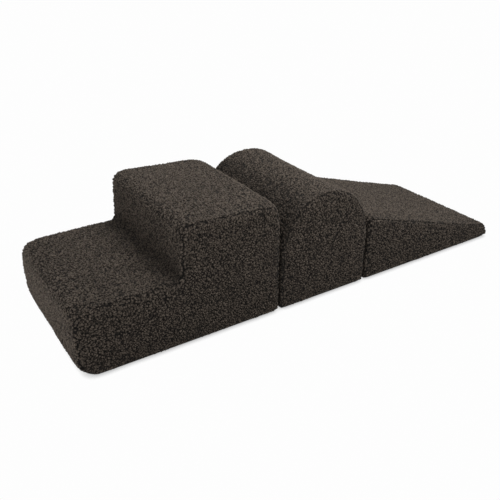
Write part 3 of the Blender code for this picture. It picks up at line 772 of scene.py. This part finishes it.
def cloth_swell():
    """Points of a coarser set of covers, and how far a short cloth simulation with pressure inside
    and the seams held moves each of them.
    """
    covers = make_covers(CLOTH_GRID)
    rest = np.array(covers.points, np.float32)
    seam, press = np.array(covers.seam), np.array(covers.press)
    piece = mesh_object("cover_cloth", rest, covers.faces)
    held = (seam < HELD_REACH) | (rest[:, 2] < HELD_REACH) | (press > HELD_PRESS)
    group = piece.vertex_groups.new(name="held")
    group.add([int(k) for k in np.flatnonzero(held)], 1.0, "REPLACE")
    cloth = piece.modifiers.new("cloth", "CLOTH")
    cloth.settings.vertex_group_mass = "held"
    cloth.settings.use_pressure = True
    cloth.settings.uniform_pressure_force = CLOTH_PRESSURE
    cloth.settings.effector_weights.gravity = 0
    cloth.settings.quality = CLOTH_QUALITY
    cloth.settings.shrink_min = CLOTH_SHRINK
    cloth.collision_settings.use_collision = False
    cloth.point_cache.frame_start, cloth.point_cache.frame_end = 1, CLOTH_FRAMES
    scene = bpy.context.scene
    for number in range(1, CLOTH_FRAMES + 1):
        scene.frame_set(number)
    settled = piece.evaluated_get(bpy.context.evaluated_depsgraph_get())
    moved = read(settled.to_mesh().vertices, "co", 3) - rest
    settled.to_mesh_clear()
    scene.frame_set(1)
    bpy.data.objects.remove(piece)
    return rest, moved


def puffed(covers):
    """The covers' points, rounded at their corners and swollen as the cloth simulation says."""
    rest = softened(covers)
    coarse, swell = cloth_swell()
    tree = kdtree.KDTree(len(coarse))
    for k, point in enumerate(coarse):
        tree.insert(point, k)
    tree.balance()
    moved = np.zeros_like(rest)
    for k, point in enumerate(rest):
        near = tree.find_n(point, PUFF_NEIGHBOURS)
        weights = np.array([1 / (far + PUFF_BLUR) for _, _, far in near], np.float32)
        moved[k] = weights @ swell[[j for _, j, _ in near]] * (PUFF_SHARE / weights.sum())
    seam, press = np.array(covers.seam), np.array(covers.press)
    on_side = np.abs(rest[:, 1]) > SIDE_START
    cap = PUFF * (1 - press) * np.clip(seam / PUFF_RISE, 0, 1) * (1 - SIDE_LOSS * on_side)
    far = np.linalg.norm(moved, axis=1)
    return rest + moved * (cap / np.maximum(far, np.maximum(cap, 1e-9)))[:, None]


# Fine covers


def subdivided(covers, points, levels):
    """Positions, normals, facts of the points, quads and panels of the subdivided covers."""
    piece = mesh_object("cover_form", points, covers.faces)
    mesh = piece.data
    mesh.polygons.foreach_set("material_index", covers.panels)
    for name in covers.names:
        mesh.materials.append(bpy.data.materials.new(name))
    facts = {"seam": covers.seam, "press": covers.press, "across": covers.across, "bend": covers.bend}
    write_values(mesh, facts)
    smooth = piece.modifiers.new("subdivide", "SUBSURF")
    smooth.levels = smooth.render_levels = levels
    smooth.boundary_smooth = "PRESERVE_CORNERS"
    settled = piece.evaluated_get(bpy.context.evaluated_depsgraph_get())
    fine = settled.to_mesh()
    place, normal = read(fine.vertices, "co", 3), read(fine.vertex_normals, "vector", 3)
    values = {name: read(fine.attributes[name].data, "value") for name in facts}
    quads = read(fine.loops, "vertex_index", kind=np.int32).reshape(-1, 4)
    panels = read(fine.polygons, "material_index", kind=np.int32)
    settled.to_mesh_clear()
    bpy.data.objects.remove(piece)
    for name in covers.names:
        bpy.data.materials.remove(bpy.data.materials[name])
    return place, normal, values, quads, panels


def add_rim(points, quads, normals, depth):
    """Turns a panel's open edges inwards, as the cover's fabric is turned at a seam."""
    pairs = np.concatenate([quads[:, [k, (k + 1) % 4]] for k in range(4)])
    ends = np.sort(pairs, 1)
    keys = ends[:, 0].astype(np.int64) * len(points) + ends[:, 1]
    _, first, count = np.unique(keys, return_index=True, return_counts=True)
    border = pairs[first[count == 1]]
    ids = np.unique(border)
    inner = points[ids] - normals[ids] * depth
    new = np.full(len(points), -1)
    new[ids] = len(points) + np.arange(len(ids))
    walls = np.stack([border[:, 1], border[:, 0], new[border[:, 0]], new[border[:, 1]]], 1)
    return np.vstack([points, inner]), np.vstack([quads, walls]), ids


def panel_piece(name, points, quads, values, look):
    """A mesh object from arrays, smooth shaded, with named values on its points."""
    mesh = bpy.data.meshes.new(name)
    mesh.vertices.add(len(points))
    mesh.vertices.foreach_set("co", points.astype(np.float32).ravel())
    mesh.loops.add(quads.size)
    mesh.loops.foreach_set("vertex_index", quads.astype(np.int32).ravel())
    mesh.polygons.add(len(quads))
    mesh.polygons.foreach_set("loop_start", np.arange(0, quads.size, 4, dtype=np.int32))
    mesh.update(calc_edges=True)
    mesh.polygons.foreach_set("use_smooth", np.ones(len(quads), bool))
    write_values(mesh, values)
    mesh.materials.append(look)
    return linked(name, mesh)


def stand_in(piece, body, node):
    """Lets a piece ride on its body, and hides the imported node that it stands for."""
    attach(piece, body)
    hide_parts(node)


def painted_fold_shade(place, normal):
    """How much painted shade each point gets, from 0 to 1: in the tuck under the riser, and as the upper
    step's shadow on the arch's flank.
    """
    far = np.hypot(place[:, 0] - STEPS_X - RISER_X, place[:, 2] - LOW_TOP)
    inside = np.clip((HALF_DEPTH + TUCK_SHADE_OVERHANG - np.abs(place[:, 1])) / TUCK_SHADE_FADE, 0, 1)
    tuck = np.exp(-((far / TUCK_SHADE_REACH) ** 2)) * inside
    flank = np.exp(-(((place[:, 0] - ARCH_X - FLANK_SHADOW_PLACE) / FLANK_SHADOW_REACH) ** 2))
    flank = flank * np.clip(-FLANK_SHADOW_LEAN_GAIN * normal[:, 0], 0, 1)
    return np.maximum(tuck, FLANK_SHADOW_SHARE * flank)


def seam_cracks(place, across, upright):
    """How open the crack along a seam is at each point, from 0 to 1. It wanders and breaks off."""
    wander = WANDER * (grained(place, WANDER_NOISE) - 0.5)
    width = CRACK_WIDTH + CRACK_WIDENING * grained(place, WIDTH_NOISE) ** CRACK_UNEVENNESS
    crack = np.exp(-(((across - wander) / (width + UPRIGHT_WIDENING * upright)) ** 2))
    return crack * np.clip(grained(place, CRACK_NOISE) * CRACK_CONTRAST - CRACK_CUT, 0.0, 1)


def with_pile(place, normal, facts):
    """The fine points raised by the pile, and how light the pile is and the shade of its curls."""
    seam, press, bend = facts["seam"], facts["press"], facts["bend"]
    pile, shade = curly_pile(place, seam)
    upright = by_upright_seam(place)
    crack = seam_cracks(place, facts["across"], upright)
    shoulder = np.exp(-(((seam - SHOULDER_PLACE) / SHOULDER_WIDTH) ** 2))
    pile = np.clip(pile - BEND_LOSS * bend * (1 - pile), 0, 1)
    tall = PILE * (1 - PRESSED_LOSS * press) * (1 - SHOULDER_LOSS * shoulder)
    tall = tall * (1 + UPRIGHT_GAIN * upright * (seam < SEAM_ZONE)) * (1 - CRACK_PILE_LOSS * crack)
    level = PILE_LEVEL + (1 - PILE_LEVEL) * press
    rise = tall * (pile - level) + SHOULDER_RISE * shoulder - GROOVE * crack
    uneven = PUCKER * (grained(place, PUCKER_NOISE) - 0.5) + SWELL * (grained(place, SWELL_NOISE) - 0.5)
    rise += uneven * (1 - press)
    by_floor = np.clip(place[:, 2] / FLOOR_FADE, 0, 1)
    moved = place + normal * (rise * (FLOOR_SHARE + (1 - FLOOR_SHARE) * by_floor))[:, None]
    moved[:, 2] = np.maximum(moved[:, 2], FLOOR_ROOM + FLOOR_CURLS * (1 - normal[:, 2] ** 2) * pile)
    # The pile's lightness, with painted shade in the seams' cracks and a painted highlight on their
    # shoulders
    light = np.clip(pile * (1 + SHOULDER_PAINTED_HIGHLIGHT * shoulder) * (1 - CRACK_PAINTED_SHADE * crack), 0, 1)
    return moved, light, shade


def along_zip(points, block):
    """Which points lie between the ends of a block's zip."""
    low, high = MOUTHS[block]
    return (points[:, 0] > low) & (points[:, 0] < high)


def hemmed(points, block):
    """The points of a far side panel, rounded inwards round the zip's mouth."""
    low, high = MOUTHS[block]
    within = along_zip(points, block)
    over = np.where(within, np.abs(points[:, 2] - HEM_HEIGHT), FAR_AWAY)
    beside = (points[:, 2] < HEM_HEIGHT) & ~within
    to_end = np.minimum(np.abs(points[:, 0] - low), np.abs(points[:, 0] - high))
    over = np.where(beside, to_end, over)
    share = np.clip(1 - over / HEM_RADIUS, 0, 1)
    rolled = points.copy()
    rolled[:, 1] -= HEM_RADIUS * (1 - np.sqrt(1 - share**2))
    return rolled


def sewn_panel(name, quads, points, normals, depth, values, look):
    """The piece of one panel, with its edges turned in. The first of its values is 0 there."""
    used = np.unique(quads)
    local = np.full(len(points), -1)
    local[used] = np.arange(len(used))
    spots, faces, border = add_rim(points[used], local[quads], normals[used], depth)
    own = {}
    for k, (key, numbers) in enumerate(values.items()):
        numbers = numbers[used]
        own[key] = np.concatenate([numbers, numbers[border] * (k > 0)])
    piece = panel_piece(name + "_cloth", spots, faces, own, look)
    stand_in(piece, name.split("_")[0], name)
    return piece


def fabric_panels(covers, points, fabric):
    """The curly panels of all covers. The far sides leave their zips' mouths open."""
    place, normal, facts, quads, panels = subdivided(covers, points, SUBDIVISIONS)
    moved, light, shade = with_pile(place, normal, facts)
    # The fold values are painted shade: the tuck and the arch's flank are coloured darker
    values = {"pile": light, "shade": shade, "fold": painted_fold_shade(place, normal)}
    for index, name in enumerate(covers.names):
        if name.endswith("base_panel"):
            continue
        mine, spots = quads[panels == index], moved
        if name.endswith("far_side_panel"):
            block, middle = name.split("_")[0], place[mine].mean(1)
            low_down = (middle[:, 2] < HEM_HEIGHT) & (middle[:, 1] > FOAM_FACE)
            mine, spots = mine[~(along_zip(middle, block) & low_down)], hemmed(moved, block)
        sewn_panel(name, mine, spots, normal, RIM, values, fabric)


# Base panels


def base_panels(covers, points, weave):
    """The woven bases, each with the upstand that carries the lower half of its zip."""
    place, normal, facts, quads, panels = subdivided(covers, points, 1)
    seam = facts["seam"]
    ripple = grained(place, RIPPLE_NOISE) - 0.5
    lift = BASE_LIFT * np.clip(seam / BASE_LIFT_RISE, 0, 1) * np.clip(ripple * 2, 0, 1)
    place[:, 2] = np.where(place[:, 2] < BASE_LEVEL, lift, place[:, 2])
    groove = GROOVE * np.exp(-((seam / BASE_SEAM_WIDTH) ** 2))
    place -= normal * groove[:, None] * (place[:, 2] > BASE_LEVEL)[:, None]
    for index, name in enumerate(covers.names):
        if not name.endswith("base_panel"):
            continue
        block, mine = name.split("_")[0], quads[panels == index]
        middle = place[mine].mean(1)
        beyond = middle[:, 1] > FOAM_FACE + GAP + BASE_SKIN
        mine = mine[~(along_zip(middle, block) & beyond)]
        piece = sewn_panel(name, mine, place, normal, BASE_CLOTH, {"seam": seam}, weave)
        add_upstand(piece, *MOUTHS[block])


def sweep(bm, rows, forward=True):
    """Smooth faces between rows of vertices round a closed section, and flat ones over both ends."""
    for first, second in zip(rows, rows[1:]):
        for a in range(len(first)):
            b = (a + 1) % len(first)
            corners = (first[a], first[b], second[b], second[a])
            bm.faces.new(corners if forward else corners[::-1]).smooth = True
    bm.faces.new(rows[0][::-1] if forward else rows[0])
    bm.faces.new(rows[-1] if forward else rows[-1][::-1])


def add_upstand(base, low, high):
    """The strip that turns up from the base to the lower zip tape, with a folded top edge."""
    bm = bmesh.new()
    bm.from_mesh(base.data)
    top, fold = ZIP_HEIGHT - MOUTH_HALF, HEM_FOLD
    inner, outer = FOAM_FACE + GAP, FOAM_FACE + GAP + BASE_CLOTH
    profile = [
        (outer, UPSTAND_FEET[0]),
        (outer + UPSTAND_SLACK, top * 0.3),
        (outer, top * 0.62),
        (outer + UPSTAND_SLACK / 2, top - fold),
        (outer - fold * 0.3, top - fold * 0.25),
        (outer - fold, top),
        (inner + fold * 0.5, top - fold * 0.3),
        (inner, top - fold),
        (inner, UPSTAND_FEET[1]),
    ]
    count = max(8, round((high - low) / UPSTAND_STEP))
    rows = []
    for k in range(count + 1):
        x = low + GAP + (high - low - 2 * GAP) * k / count
        wave = UPSTAND_WAVE
        for turn in UPSTAND_WAVE_TURNS:
            wave *= math.sin(x * turn)
        rows.append([bm.verts.new((x, y + wave * (z / top), z)) for y, z in profile])
    sweep(bm, rows)
    bm.to_mesh(base.data)
    bm.free()


# Materials


class Nodes:
    """A short way to write the nodes of a material or a world."""

    def __init__(self, owner, shader="Principled BSDF"):
        self.owner = owner
        owner.use_nodes = True
        self.tree = owner.node_tree
        self.shader = self.tree.nodes[shader]

    @cached_property
    def place(self):
        return self.add("ShaderNodeTexCoord").outputs["Object"]

    def add(self, kind, inputs=None, **settings):
        node = self.tree.nodes.new(kind)
        for key, value in settings.items():
            setattr(node, key, value)
        for key, value in (inputs or {}).items():
            self.give(node.inputs[key], value)
        return node

    def give(self, socket, value):
        if isinstance(value, bpy.types.NodeSocket):
            self.tree.links.new(value, socket)
        else:
            socket.default_value = value

    def set(self, **values):
        for key, value in values.items():
            self.give(self.shader.inputs[key.replace("_", " ")], value)

    def noise(self, scale, detail=2.0, roughness=0.5):
        inputs = {"Vector": self.place, "Scale": scale, "Detail": detail, "Roughness": roughness}
        return self.add("ShaderNodeTexNoise", inputs).outputs["Fac"]

    def attribute(self, name):
        return self.add("ShaderNodeAttribute", attribute_name=name).outputs["Fac"]

    def ramp(self, value, stops):
        node = self.add("ShaderNodeValToRGB", {"Fac": value})
        elements = node.color_ramp.elements
        while len(elements) < len(stops):
            elements.new(0.5)
        for element, (position, colour) in zip(elements, stops):
            element.position = position
            element.color = (*colour, 1.0)
        return node.outputs["Color"]

    def math(self, operation, a, b=0.0):
        return self.add("ShaderNodeMath", {0: a, 1: b}, operation=operation).outputs[0]

    def map(self, value, low, high, to_low, to_high):
        inputs = {"Value": value, "From Min": low, "From Max": high, "To Min": to_low, "To Max": to_high}
        return self.add("ShaderNodeMapRange", inputs).outputs["Result"]

    def spread(self, value, least, most):
        """A noise's middle range, drawn out to a range from least to most."""
        return self.map(value, 0.3, 0.7, least, most)

    def scaled(self, colour, share):
        node = self.add("ShaderNodeVectorMath", {0: colour, 1: (1, 1, 1)}, operation="SCALE")
        self.give(node.inputs["Scale"], share)
        return node.outputs["Vector"]

    def bump(self, height, strength, distance):
        inputs = {"Height": height, "Strength": strength, "Distance": distance}
        return self.add("ShaderNodeBump", inputs).outputs["Normal"]

    def mix_by_view(self, lit, seen, output):
        """Gives an output one shader that lights the scene, and another for what the camera sees
        straight, in a mirror or through something clear.
        """
        rays = self.add("ShaderNodeLightPath").outputs
        bounced = self.math("MAXIMUM", rays["Is Glossy Ray"], rays["Is Transmission Ray"])
        direct = self.math("MAXIMUM", rays["Is Camera Ray"], bounced)
        mix = self.add("ShaderNodeMixShader", {"Fac": direct, 1: lit, 2: seen})
        self.give(self.tree.nodes[output].inputs["Surface"], mix.outputs["Shader"])


def boucle():
    """Curly pile with fine fibres: painted shade makes it dark between the curls, and it is lighter on
    their tips.
    """
    n = Nodes(bpy.data.materials.new("boucle_fabric_look"))
    pile, shade, fold = n.attribute("pile"), n.attribute("shade"), n.attribute("fold")
    fibre = n.noise(950.0, 3.0, 0.65)
    streak = n.noise(380.0, 2.0, 0.6)
    patch = n.noise(16.0, 2.0, 0.5)
    # Painted shade: low pile values, in the creases and pits between curls, are coloured nearly black
    colour = n.ramp(
        n.math("ADD", pile, n.spread(streak, -0.22, 0.22)),
        [
            (0.0, (0.0020, 0.0016, 0.0013)),
            (0.24, (0.0060, 0.0048, 0.0039)),
            (0.44, (0.0600, 0.0485, 0.0391)),
            (0.68, (0.1090, 0.0883, 0.0713)),
            (1.0, (0.1450, 0.1178, 0.0951)),
        ],
    )
    tone = n.map(shade, 0.0, 1.0, 0.88, 1.12)
    for share in (
        n.spread(fibre, 0.78, 1.22),
        n.spread(streak, 0.58, 1.42),
        n.spread(patch, 0.94, 1.06),
        # Painted shade: the fold value darkens the tuck and the arch's flank down to 0.6
        n.map(fold, 0.0, 1.0, 1.0, 0.60),
    ):
        tone = n.math("MULTIPLY", tone, share)
    height = n.math("ADD", fibre, n.math("MULTIPLY", streak, 0.8))
    n.set(
        Base_Color=n.scaled(colour, tone),
        Roughness=0.93,
        Specular_IOR_Level=0.18,
        Sheen_Weight=0.10,
        Sheen_Roughness=0.45,
        Sheen_Tint=(0.85, 0.78, 0.70, 1.0),
        Normal=n.bump(height, 0.75, 0.0012),
    )
    return n.owner


def woven(name, colour, pitch, roughness=0.8):
    """Plain weave of warp and weft threads in the plane that a surface lies in."""
    n = Nodes(bpy.data.materials.new(name))
    parts = n.add("ShaderNodeSeparateXYZ", {0: n.place}).outputs
    turn = 2 * math.pi / pitch
    warp = n.math("SINE", n.math("MULTIPLY", parts["X"], turn))
    weft = n.math("SINE", n.math("MULTIPLY", n.math("ADD", parts["Y"], parts["Z"]), turn))
    over = n.math("ABSOLUTE", n.math("MULTIPLY", warp, weft))
    height = n.math("MAXIMUM", over, n.math("MULTIPLY", n.noise(600.0, 3.0), 0.6))
    worn = n.noise(40.0, 4.0, 0.6)
    light = tuple(min(1.0, c * 1.7) for c in colour)
    dark = tuple(c * 0.55 for c in colour)
    threads = n.ramp(height, [(0.0, dark), (0.5, colour), (1.0, light)])
    n.set(
        Base_Color=n.scaled(threads, n.spread(worn, 0.85, 1.15)),
        Roughness=n.spread(worn, roughness - 0.06, roughness + 0.08),
        Specular_IOR_Level=0.3,
        Sheen_Weight=0.08,
        Normal=n.bump(height, 0.6, pitch * 0.4),
    )
    return n.owner


def open_foam():
    """Foam with open cells, darker in its pores."""
    n = Nodes(bpy.data.materials.new("foam_look"))
    cells = n.add("ShaderNodeTexVoronoi", {"Vector": n.place, "Scale": 700.0})
    pores = cells.outputs["Distance"]
    stops = [(0.0, (0.34, 0.31, 0.22)), (0.4, (0.70, 0.66, 0.52)), (1.0, (0.80, 0.77, 0.64))]
    n.set(
        Base_Color=n.ramp(pores, stops),
        Roughness=0.92,
        Specular_IOR_Level=0.2,
        Normal=n.bump(pores, 0.7, 0.0008),
    )
    return n.owner


def dark_metal():
    """Zip metal with a dark coat that is rubbed brighter in places."""
    n = Nodes(bpy.data.materials.new("zip_metal_look"))
    rub = n.noise(420.0, 4.0, 0.6)
    stops = [(0.35, (0.040, 0.037, 0.034)), (0.62, (0.075, 0.070, 0.064)), (0.8, (0.21, 0.20, 0.185))]
    n.set(
        Base_Color=n.ramp(rub, stops),
        Metallic=0.85,
        Roughness=n.map(rub, 0.3, 0.8, 0.42, 0.26),
        Normal=n.bump(n.noise(1500.0, 2.0), 0.15, 0.0001),
    )
    return n.owner


def nylon():
    """Satin dark nylon of the zip coils."""
    n = Nodes(bpy.data.materials.new("zip_coil_look"))
    mottle = n.noise(500.0, 2.0)
    n.set(
        Base_Color=n.ramp(mottle, [(0.3, (0.012, 0.011, 0.010)), (0.7, (0.022, 0.020, 0.018))]),
        Roughness=n.spread(mottle, 0.34, 0.46),
        Specular_IOR_Level=0.45,
    )
    return n.owner


# Zips and foam


def cad_copy(node, look, bevel=0.0, segments=2):
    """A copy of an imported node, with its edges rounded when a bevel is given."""
    ending = "_block" if node.endswith("foam") else "_metal"
    piece = linked(node + ending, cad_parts[node].data.copy())
    bm = bmesh.new()
    bm.from_mesh(piece.data)
    bmesh.ops.remove_doubles(bm, verts=bm.verts, dist=1e-6)
    bmesh.ops.dissolve_limit(bm, angle_limit=math.radians(1), verts=bm.verts, edges=bm.edges)
    bm.to_mesh(piece.data)
    bm.free()
    piece.data.materials.clear()
    piece.data.materials.append(look)
    if bevel:
        edge = piece.modifiers.new("edges", "BEVEL")
        edge.width = bevel
        edge.segments = segments
        edge.limit_method = "ANGLE"
        edge.angle_limit = BEVEL_ANGLE
        edge.use_clamp_overlap = True
        edge.harden_normals = True
    piece.data.shade_smooth()
    piece.data.set_sharp_from_angle(angle=SHARP_ANGLE)
    return piece


def tube(path, centre, radius):
    """Points and quads of a round wire along a path, turned away from a centre line."""
    ahead = np.gradient(path, axis=0)
    ahead /= np.linalg.norm(ahead, axis=1)[:, None]
    out = path - centre
    out -= ahead * (out * ahead).sum(1)[:, None]
    out /= np.linalg.norm(out, axis=1)[:, None]
    cross = np.cross(ahead, out)
    turn = (np.arange(WIRE_SIDES) * 2 * math.pi / WIRE_SIDES)[None, :, None]
    ring = path[:, None] + radius * (out[:, None] * np.cos(turn) + cross[:, None] * np.sin(turn))
    k = np.arange(len(path) - 1)[:, None] * WIRE_SIDES
    j = np.arange(WIRE_SIDES)[None]
    following = (j + 1) % WIRE_SIDES
    quads = np.stack([k + j, k + following, k + WIRE_SIDES + following, k + WIRE_SIDES + j], 2)
    return ring.reshape(-1, 3), quads.reshape(-1, 4)


def coil_row(name, low, high, side, look, block):
    """A zip's coil row: a flattened spiral of nylon that stands on its tape."""
    turns = int((high - low) / COIL_PITCH)
    count = turns * COIL_STEPS
    angle = np.linspace(0, 2 * math.pi * turns, count + 1)
    x = low + COIL_WIRE + (high - low - 2 * COIL_WIRE) * np.arange(count + 1) / count
    middle, reach = (COIL_NEAR + COIL_FAR) / 2, (COIL_FAR - COIL_NEAR) / 2 - COIL_WIRE
    centre_y, climb = FOAM_FACE + GAP + COIL_THICKNESS / 2, COIL_THICKNESS / 2 - COIL_WIRE
    lean = COIL_LEAN_SHARE * COIL_PITCH * np.cos(angle)
    z = ZIP_HEIGHT + side * (middle + reach * np.cos(angle))
    path = np.stack([x + lean, centre_y + climb * np.sin(angle), z], 1)
    centre = np.stack([x, np.full_like(x, centre_y), np.full_like(x, ZIP_HEIGHT + side * middle)], 1)
    piece = panel_piece(name + "_turns", *tube(path, centre, COIL_WIRE), {}, look)
    stand_in(piece, block, name)


def tape(name, low, high, side, look, block):
    """A woven zip tape with a thicker selvedge by its coil. Beyond the coils the two tapes meet."""
    count = max(8, round((high - low) / TAPE_STEP))
    bm = bmesh.new()
    rows = []
    for k in range(count + 1):
        x = low + (high - low) * k / count
        inner = TAPE_NEAR if low + TAPE_TAIL < x < high - TAPE_TAIL else GAP / 2
        wave = TAPE_WAVE * math.sin(x * TAPE_WAVE_TURN + side)
        top, bottom = [], []
        for share in TAPE_WIDTH_SHARES:
            z = ZIP_HEIGHT + side * (inner + (TAPE_FAR - inner) * share)
            ridge = TAPE_RIDGE if SELVEDGE_SHARES[0] < share < SELVEDGE_SHARES[1] else 0.0
            y = FOAM_FACE - TAPE_ROOM - ridge - abs(wave)
            top.append(bm.verts.new((x, y, z)))
            bottom.append(bm.verts.new((x, FOAM_FACE - TAPE_THICKNESS, z)))
        rows.append(top + bottom[::-1])
    sweep(bm, rows, forward=side > 0)
    mesh = bpy.data.meshes.new(name + "_weave")
    bm.to_mesh(mesh)
    bm.free()
    mesh.materials.append(look)
    mesh.set_sharp_from_angle(angle=TAPE_SHARP_ANGLE)
    stand_in(linked(name + "_weave", mesh), block, name)


def squeeze_corners(piece, node):
    """Draws a foam block's edges in where the cover rounds its corners off."""
    low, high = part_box(node)
    for vertex in piece.data.vertices:
        for x, z, reach, strength in SOFT_CORNERS:
            if low.x - reach < x < high.x + reach:
                way = Vector(((low.x + high.x) / 2 - x, 0, (low.z + high.z) / 2 - z)).normalized()
                far = math.hypot(vertex.co.x - x, vertex.co.z - z)
                vertex.co += way * (SQUEEZE * strength * math.exp(-((far / reach) ** 2)))


def zips_and_foam():
    metal, plastic, foam = dark_metal(), nylon(), open_foam()
    cloth = woven("zip_tape_look", (0.026, 0.023, 0.020), 0.0007, 0.72)
    for block, (low, high) in MOUTHS.items():
        for level, side in (("upper", 1), ("lower", -1)):
            coil = f"{block}_zip_{level}_coil"
            coil_row(coil, low + TAPE_TAIL, high - TAPE_TAIL, side, plastic, block)
            tape(f"{block}_zip_{level}_tape", low, high, side, cloth, block)
        for part, body, bevel, segments in (
            ("start_stop", block, STOP_BEVEL, 2),
            ("end_stop", block, STOP_BEVEL, 2),
            ("slider", block + "_slider", SLIDER_BEVEL, 2),
            ("pull", block + "_pull", PULL_BEVEL, 3),
        ):
            node = f"{block}_zip_{part}"
            stand_in(cad_copy(node, metal, bevel, segments), body, node)
    for node in ("steps_lower_foam", "steps_upper_foam", "arch_foam", "ramp_foam"):
        piece = cad_copy(node, foam)
        squeeze_corners(piece, node)
        stand_in(piece, node.split("_")[0], node)


# Floor, light and camera


def floor_look():
    """Pale grey to the lamps and plain white to the camera, with a faint shadow by the blocks."""
    n = Nodes(bpy.data.materials.new("floor_look"))
    n.set(Base_Color=(*FLOOR_GREY, 1), Roughness=0.9, Specular_IOR_Level=0.1)
    near = n.add("ShaderNodeAmbientOcclusion", {"Distance": CONTACT_REACH}, samples=8)
    shade = n.ramp(near.outputs["AO"], [(0.0, CONTACT_GREY), (0.75, PLAIN_WHITE)])
    glow = n.add("ShaderNodeEmission", {"Color": shade, "Strength": 1.0})
    n.mix_by_view(n.shader.outputs["BSDF"], glow.outputs["Emission"], "Material Output")
    return n.owner


def floor():
    bm = bmesh.new()
    bmesh.ops.create_grid(bm, x_segments=1, y_segments=1, size=FLOOR_SIZE)
    mesh = bpy.data.meshes.new("floor")
    bm.to_mesh(mesh)
    bm.free()
    piece = linked("floor", mesh)
    piece.location.z = -FLOOR_DEPTH
    mesh.materials.append(floor_look())


def area_light(name, place, target, size, power):
    data = bpy.data.lights.new(name, "AREA")
    data.shape = "RECTANGLE"
    data.size, data.size_y = size
    data.energy = power
    lamp = linked(name, data)
    lamp.location = place
    lamp.rotation_euler = (Vector(target) - Vector(place)).to_track_quat("-Z", "Y").to_euler()


def light():
    """A faint even world that the camera sees as white, and the lamps."""
    world = bpy.data.worlds.new("studio")
    bpy.context.scene.world = world
    n = Nodes(world, "Background")
    n.set(Color=(1, 1, 1, 1), Strength=WORLD_STRENGTH)
    white = n.add("ShaderNodeBackground", {"Color": (*PLAIN_WHITE, 1), "Strength": 1.0})
    n.mix_by_view(n.shader.outputs["Background"], white.outputs["Background"], "World Output")
    for name, facts in LAMPS.items():
        area_light(name, *facts)


def camera():
    """The photograph's camera."""
    data = bpy.data.cameras.new("camera")
    data.sensor_width = SENSOR_WIDTH
    data.lens = FOCAL_PIXELS / IMAGE_WIDTH * SENSOR_WIDTH
    data.shift_x = SHIFT_PIXELS / IMAGE_WIDTH
    data.clip_start, data.clip_end = 0.05, 60
    piece = linked("camera", data)
    turn = Matrix.Rotation(-CAMERA_YAW, 4, "Z") @ Matrix.Rotation(math.pi / 2 - CAMERA_PITCH, 4, "X")
    turn = turn @ Matrix.Rotation(-CAMERA_ROLL, 4, "Z")
    piece.matrix_world = Matrix.Translation(CAMERA_PLACE) @ turn
    bpy.context.scene.camera = piece
    bpy.context.scene.view_settings.view_transform = "Standard"
    bpy.context.scene.view_settings.look = "None"


def main():
    covers = make_covers(GRID)
    points = puffed(covers)
    fabric_panels(covers, points, boucle())
    base_panels(covers, points, woven("base_fabric_look", (0.020, 0.019, 0.018), 0.0011))
    zips_and_foam()
    floor()
    light()
    camera()


main()
